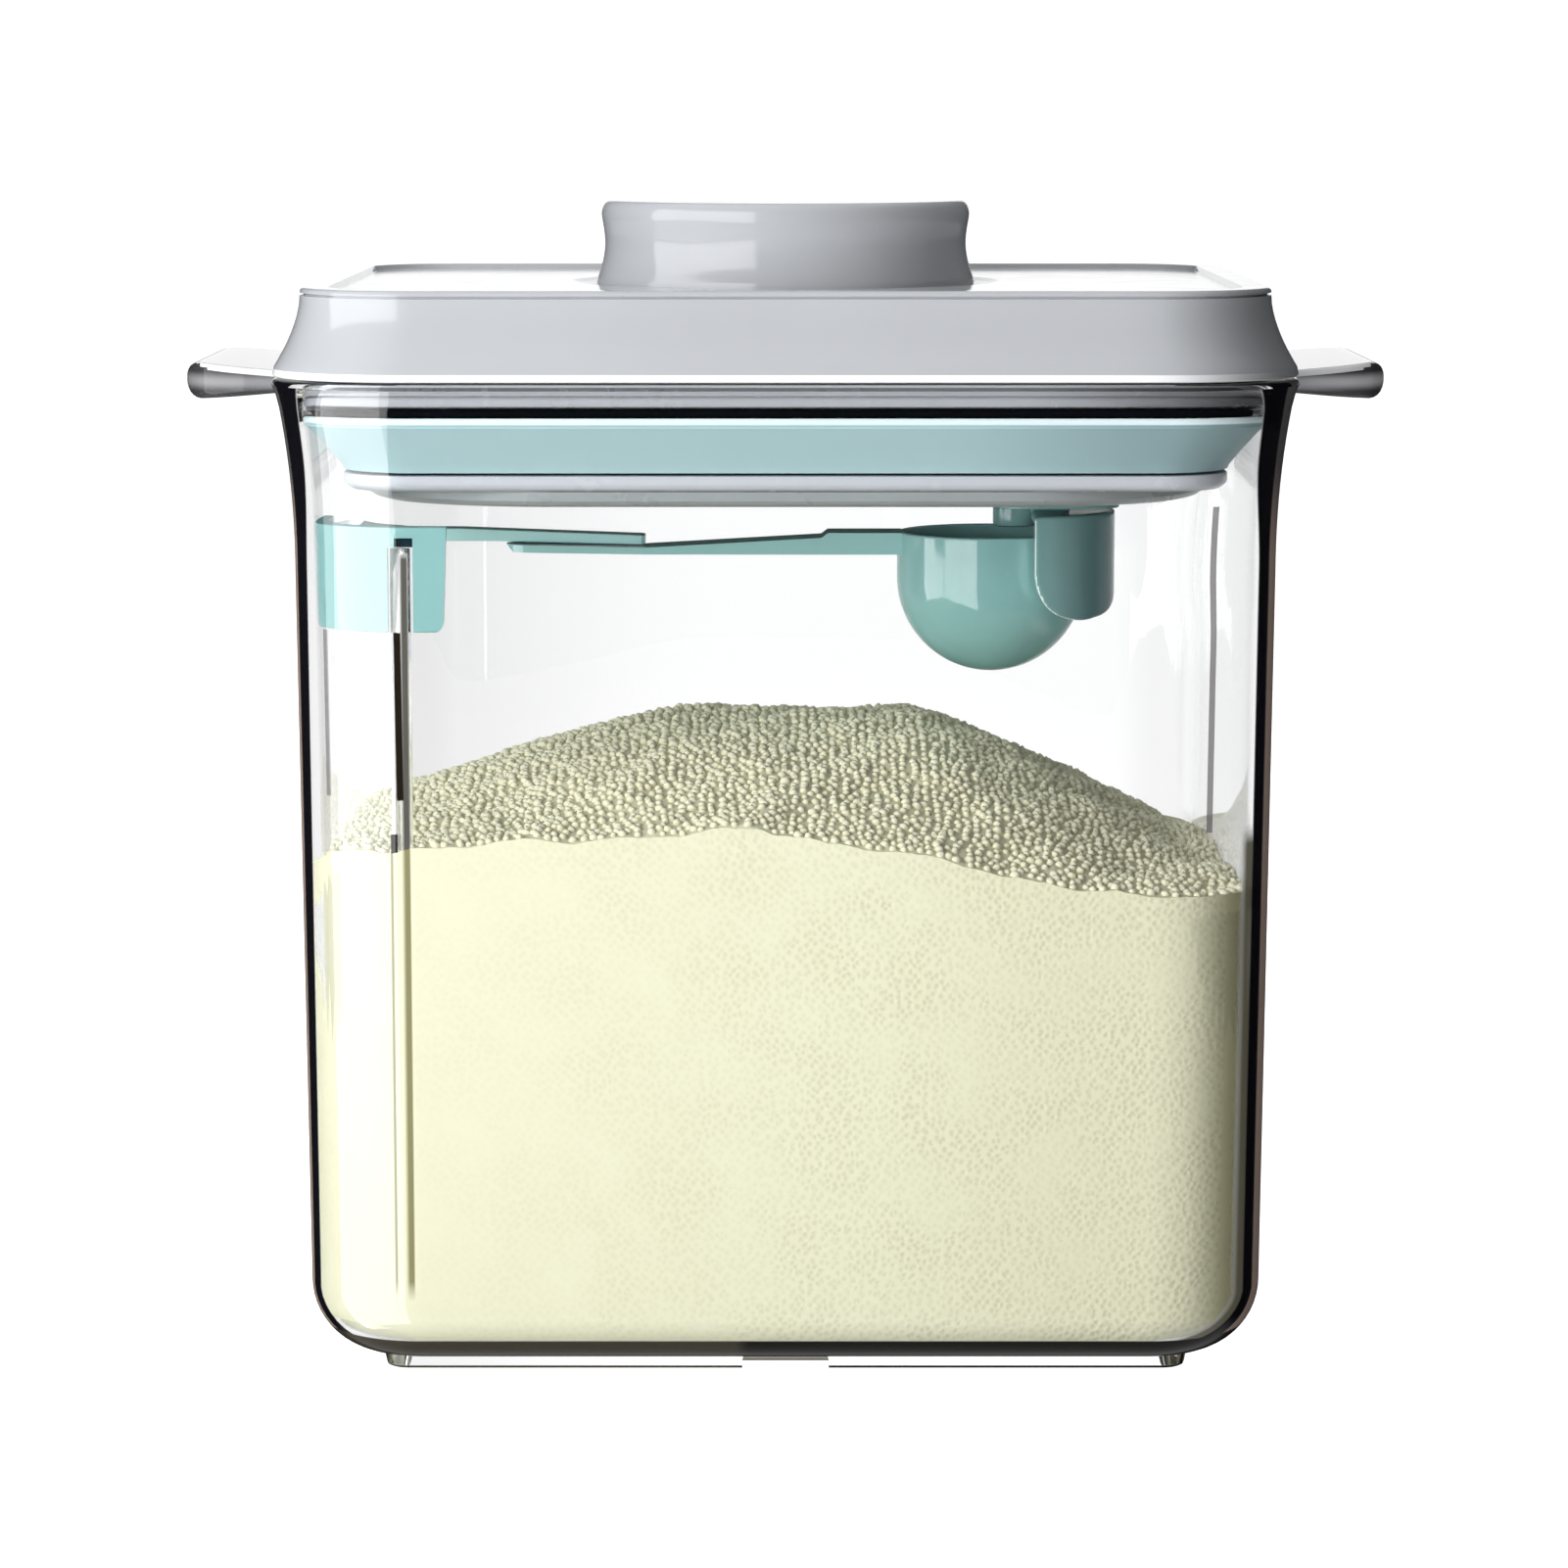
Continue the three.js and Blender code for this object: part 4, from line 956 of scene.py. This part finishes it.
# the top of the heap as rows of points, out to a rounded rectangle
def heapTop(half, corner, columns, rowCount, arcRows):
    depth = half - sideLess
    rows = [-depth + corner * (1 - cosine(90 * i / arcRows)) for i in range(arcRows)]
    rows += steady(-depth + corner, depth - corner, rowCount) + [-y for y in reversed(rows)]
    points = []
    for y in rows:
        over = max(0, abs(y) - (depth - corner))
        wide = half - corner + math.sqrt(max(0, corner ** 2 - over ** 2))
        points += [(x, y, heapHeight(x, y) + relief(x, y)) for x in steady(-wide, wide, columns + 1)]
    stride = columns + 1
    faces = []
    for j in range(len(rows) - 1):
        starts = range(j * stride, j * stride + columns)
        faces += [(i, i + 1, i + 1 + stride, i + stride) for i in starts]
    return points, faces, len(rows) - 1


def makePowder():
    p = powderSize
    half = insideHalf(85) + p["reach"]
    depth, corner = half - sideLess, innerCorner + 0.3
    across = p["columns"]
    points, faces, along = heapTop(half, corner, across, p["rows"], p["arcRows"])
    stride = across + 1
    edge = [i for i in range(across)] + [j * stride + across for j in range(along)]
    edge += [along * stride + across - i for i in range(across)] + [(along - j) * stride for j in range(along)]
    # the sides go down inside the wall and round into the floor
    floor, rounding = jarSize["floor"] - p["reach"], jarSize["innerRound"]
    lower = roundedFoot(floor, insideHalf(floor + rounding) + p["reach"], rounding, corner, steady(0, 90, 11))
    lower += [[z, insideHalf(z) + p["reach"], corner] for z in steady(floor + rounding + 2, 70, p["wallRows"])]
    top = [points[i] for i in edge]
    count = len(edge)
    previous = edge
    for z, wide, _ in reversed(lower):
        start = len(points)
        shrinkX, shrinkY = wide / half, (wide - sideLess) / depth
        points += [(x * shrinkX, y * shrinkY, z) for x, y, _ in top]
        ring = [start + i for i in range(count)]
        faces += [(previous[i], ring[i], ring[(i + 1) % count], previous[(i + 1) % count]) for i in range(count)]
        previous = ring
    faces.append(tuple(reversed(previous)))
    heap = makeObject("powderHeap", points, faces)
    return place(shadeSmoothly(heap, 60), "milk_powder", [powderCream])


grainSize = {"inset": 0.6, "spacing": 1.15, "smallest": 0.55, "largest": 0.84, "lift": 0.1, "seed": 11}


# crumbs scattered over the top of the heap: a spacing, a range of sizes and a seed
def grainTree():
    tree = bpy.data.node_groups.new("powderCrumbs", "GeometryNodeTree")
    face = tree.interface
    face.new_socket("Heap", in_out="INPUT", socket_type="NodeSocketGeometry")
    sockets = {}
    for name in ("Spacing", "Smallest", "Largest", "Lift", "Seed"):
        kind = "NodeSocketInt" if name == "Seed" else "NodeSocketFloat"
        sockets[name] = face.new_socket(name, in_out="INPUT", socket_type=kind).identifier
    face.new_socket("Crumbs", in_out="OUTPUT", socket_type="NodeSocketGeometry")
    given = addNode(tree, "NodeGroupInput").outputs
    seed = given["Seed"]

    def add(kind, inputs, output=0, **settings):
        return addNode(tree, kind, inputs, **settings).outputs[output]

    def randomly(inputs, offset, output, **settings):
        return add("FunctionNodeRandomValue", {**inputs, "Seed": calculate("ADD", seed, offset)}, output, **settings)

    inputs = {"Mesh": given["Heap"], "Distance Min": given["Spacing"], "Density Max": 3e6, "Seed": seed}
    scatter = add("GeometryNodeDistributePointsOnFaces", inputs, "Points", distribute_method="POISSON")
    rise = add("ShaderNodeCombineXYZ", {"Z": randomly({3: given["Lift"]}, 0, 1)})
    points = add("GeometryNodeSetPosition", {"Geometry": scatter, "Offset": rise})
    crumb = add("GeometryNodeMeshIcoSphere", {"Radius": 1, "Subdivisions": 1}, "Mesh")
    turn = randomly({1: (2 * math.pi,) * 3}, 1, 0, data_type="FLOAT_VECTOR")
    size = randomly({2: given["Smallest"], 3: given["Largest"]}, 2, 1)
    squeeze = randomly({0: (0.85, 0.85, 0.75), 1: (1.15, 1.15, 1)}, 3, 0, data_type="FLOAT_VECTOR")
    scaled = add("ShaderNodeVectorMath", {0: squeeze, "Scale": size}, operation="SCALE")
    inputs = {"Points": points, "Instance": crumb, "Rotation": turn, "Scale": scaled}
    real = add("GeometryNodeRealizeInstances", {0: add("GeometryNodeInstanceOnPoints", inputs)})
    smooth = add("GeometryNodeSetShadeSmooth", {"Geometry": real})
    finished = add("GeometryNodeSetMaterial", {"Geometry": smooth, "Material": crumbCream})
    addNode(tree, "NodeGroupOutput", {0: finished})
    return tree, sockets


def makeGrains():
    g = grainSize
    points, faces, _ = heapTop(insideHalf(80) - g["inset"], innerCorner - g["inset"], 90, 60, 10)
    grains = makeObject("powderCrumbs", points, faces)
    tree, sockets = grainTree()
    modifier = grains.modifiers.new("crumbs", "NODES")
    modifier.node_group = tree
    for name in ("Spacing", "Smallest", "Largest", "Lift"):
        modifier[sockets[name]] = g[name.lower()] * mm
    modifier[sockets["Seed"]] = g["seed"]
    settle(grains)
    return place(grains, "milk_powder", [crumbCream])


makePowder()
makeGrains()
print("the powder is made")

# The camera, the floor and the light

cameraSize = {"place": (0, -0.7623, 0.1915), "pitch": 8.14, "focalPixels": 5000, "frame": 1601, "shiftPixels": 1.5}


def makeCamera():
    c = cameraSize
    camera = bpy.data.cameras.new("camera")
    camera.sensor_fit = "HORIZONTAL"
    camera.sensor_width = 36
    camera.lens = 36 * c["focalPixels"] / c["frame"]
    camera.shift_x = -c["shiftPixels"] / c["frame"]
    camera.clip_start = 0.01
    seen = bpy.data.objects.new("camera", camera)
    seen.location = c["place"]
    seen.rotation_euler = (math.radians(90 - c["pitch"]), 0, 0)
    bpy.context.scene.collection.objects.link(seen)
    bpy.context.scene.camera = seen


floorLook = {"reach": 9000, "colour": (0.55, 0.55, 0.55), "glow": 1.1}


def makeFloor():
    far = floorLook["reach"]
    floor = makeObject("floor", [(-far, -far, 0), (far, -far, 0), (far, far, 0), (-far, far, 0)], [(0, 1, 2, 3)])
    material, tree, surface = shader("paleFloor")[:3]
    fill(surface, {"Base Color": floorLook["colour"], "Roughness": 0.9, "Specular IOR Level": 0})
    glow = times(addNode(tree, "ShaderNodeLightPath").outputs["Is Camera Ray"], floorLook["glow"])
    fill(surface, {"Emission Color": (1, 1, 1), "Emission Strength": glow})
    floor.data.materials.append(material)
    floor.visible_glossy = False
    floor.visible_transmission = False


def makeLamp(name, azimuth, height, distance, width, tall, radiance):
    light = bpy.data.lights.new(name, "AREA")
    light.shape = "RECTANGLE"
    light.size = width
    light.size_y = tall
    light.energy = radiance * math.pi * width * tall
    lamp = bpy.data.objects.new(name, light)
    a = math.radians(azimuth)
    lamp.location = (-math.sin(a) * distance, -math.cos(a) * distance, height)
    lamp.rotation_euler = (lamp.location - Vector((0, 0, 0.08))).to_track_quat("Z", "Y").to_euler()
    lamp.visible_camera = False
    lamp.visible_glossy = False
    lamp.visible_transmission = False
    bpy.context.scene.collection.objects.link(lamp)


# What the world shows depends on how a ray reaches it: white behind the object, white paper through clear plastic,
# and for reflections a dark studio with a large softbox at the left front, a pale floor and a strip at the back
studio = {
    "plain": 0.1, "behind": 1.1, "seenThrough": 1.18, "seenLeft": 0.95, "wall": 1.0, "dark": 0.02,
    "softbox": 3.6, "softboxWide": (19, 92), "softboxTall": (-50, 28), "roof": 0.7, "roofEdge": (35, 60),
    "table": 0.7, "tableEdge": (-32, -46), "backStrip": 1.2, "backEdge": (166, 172), "backTall": (0, 30),
}


def makeWorld():
    world = bpy.data.worlds.new("studio")
    bpy.context.scene.world = world
    world.use_nodes = True
    tree = world.node_tree
    tree.nodes.clear()
    s = studio

    def step(value, low, high):
        return ramp(value, low, high, True)

    def window(value, low, high, soft):
        return times(step(value, low - soft, low + soft), step(value, high + soft, high - soft))

    def choose(factor, no, yes):
        return calculate("ADD", times(calculate("SUBTRACT", 1, factor), no), times(factor, yes))

    x, y, z = axesOf(addNode(tree, "ShaderNodeTexCoord").outputs["Generated"])
    left = times(x, -1)
    azimuth = times(calculate("ARCTAN2", left, times(y, -1)), 180 / math.pi)
    elevation = times(calculate("ARCSINE", z), 180 / math.pi)
    soft = times(window(azimuth, *s["softboxWide"], 0.7), window(elevation, *s["softboxTall"], 1.5))
    total = calculate("MULTIPLY_ADD", soft, s["softbox"], s["dark"])
    roof = times(step(elevation, *s["roofEdge"]), s["roof"])
    table = times(step(elevation, *s["tableEdge"]), s["table"])
    inside = calculate("ADD", total, calculate("ADD", roof, table))
    strip = times(step(calculate("ABSOLUTE", azimuth), *s["backEdge"]), window(elevation, *s["backTall"], 1))
    reflected = calculate("MULTIPLY_ADD", strip, s["backStrip"], inside)

    path = addNode(tree, "ShaderNodeLightPath").outputs
    # what the upright walls mirror or lead round lies behind the object, where it is white
    led = times(step(z, -0.01, -0.04), step(y, 0.4, 0.55))
    bounced = choose(led, inside, s["wall"])
    sides = most(step(left, 0.01, 0.095), times(step(x, 0.06, 0.1), 0.45))
    paper = choose(sides, s["seenThrough"], s["seenLeft"])
    through = choose(calculate("GREATER_THAN", path["Glossy Depth"], 0.5), paper, bounced)
    value = choose(path["Is Glossy Ray"], s["plain"], reflected)
    value = choose(path["Is Transmission Ray"], value, through)
    value = choose(path["Is Camera Ray"], value, s["behind"])
    background = addNode(tree, "ShaderNodeBackground", {"Color": (1, 1, 1), "Strength": value})
    addNode(tree, "ShaderNodeOutputWorld", {0: background.outputs[0]})


makeCamera()
makeFloor()
makeWorld()
makeLamp("keySoftbox", 44, 0.3, 0.65, 0.42, 0.34, 9)
makeLamp("lowSoftbox", 11, 0.12, 0.6, 0.3, 0.18, 8.3)
makeLamp("topSoftbox", 170, 1.15, 0.35, 1.0, 0.9, 3.0)
makeLamp("backSoftbox", -138, 0.35, 0.7, 0.4, 0.4, 2.2)
scene = bpy.context.scene
scene.view_settings.view_transform = "Standard"
scene.cycles.max_bounces = 24
scene.cycles.transmission_bounces = 20
scene.cycles.glossy_bounces = 12
scene.cycles.transparent_max_bounces = 24
scene.cycles.use_denoising = True
print("the stage is set")
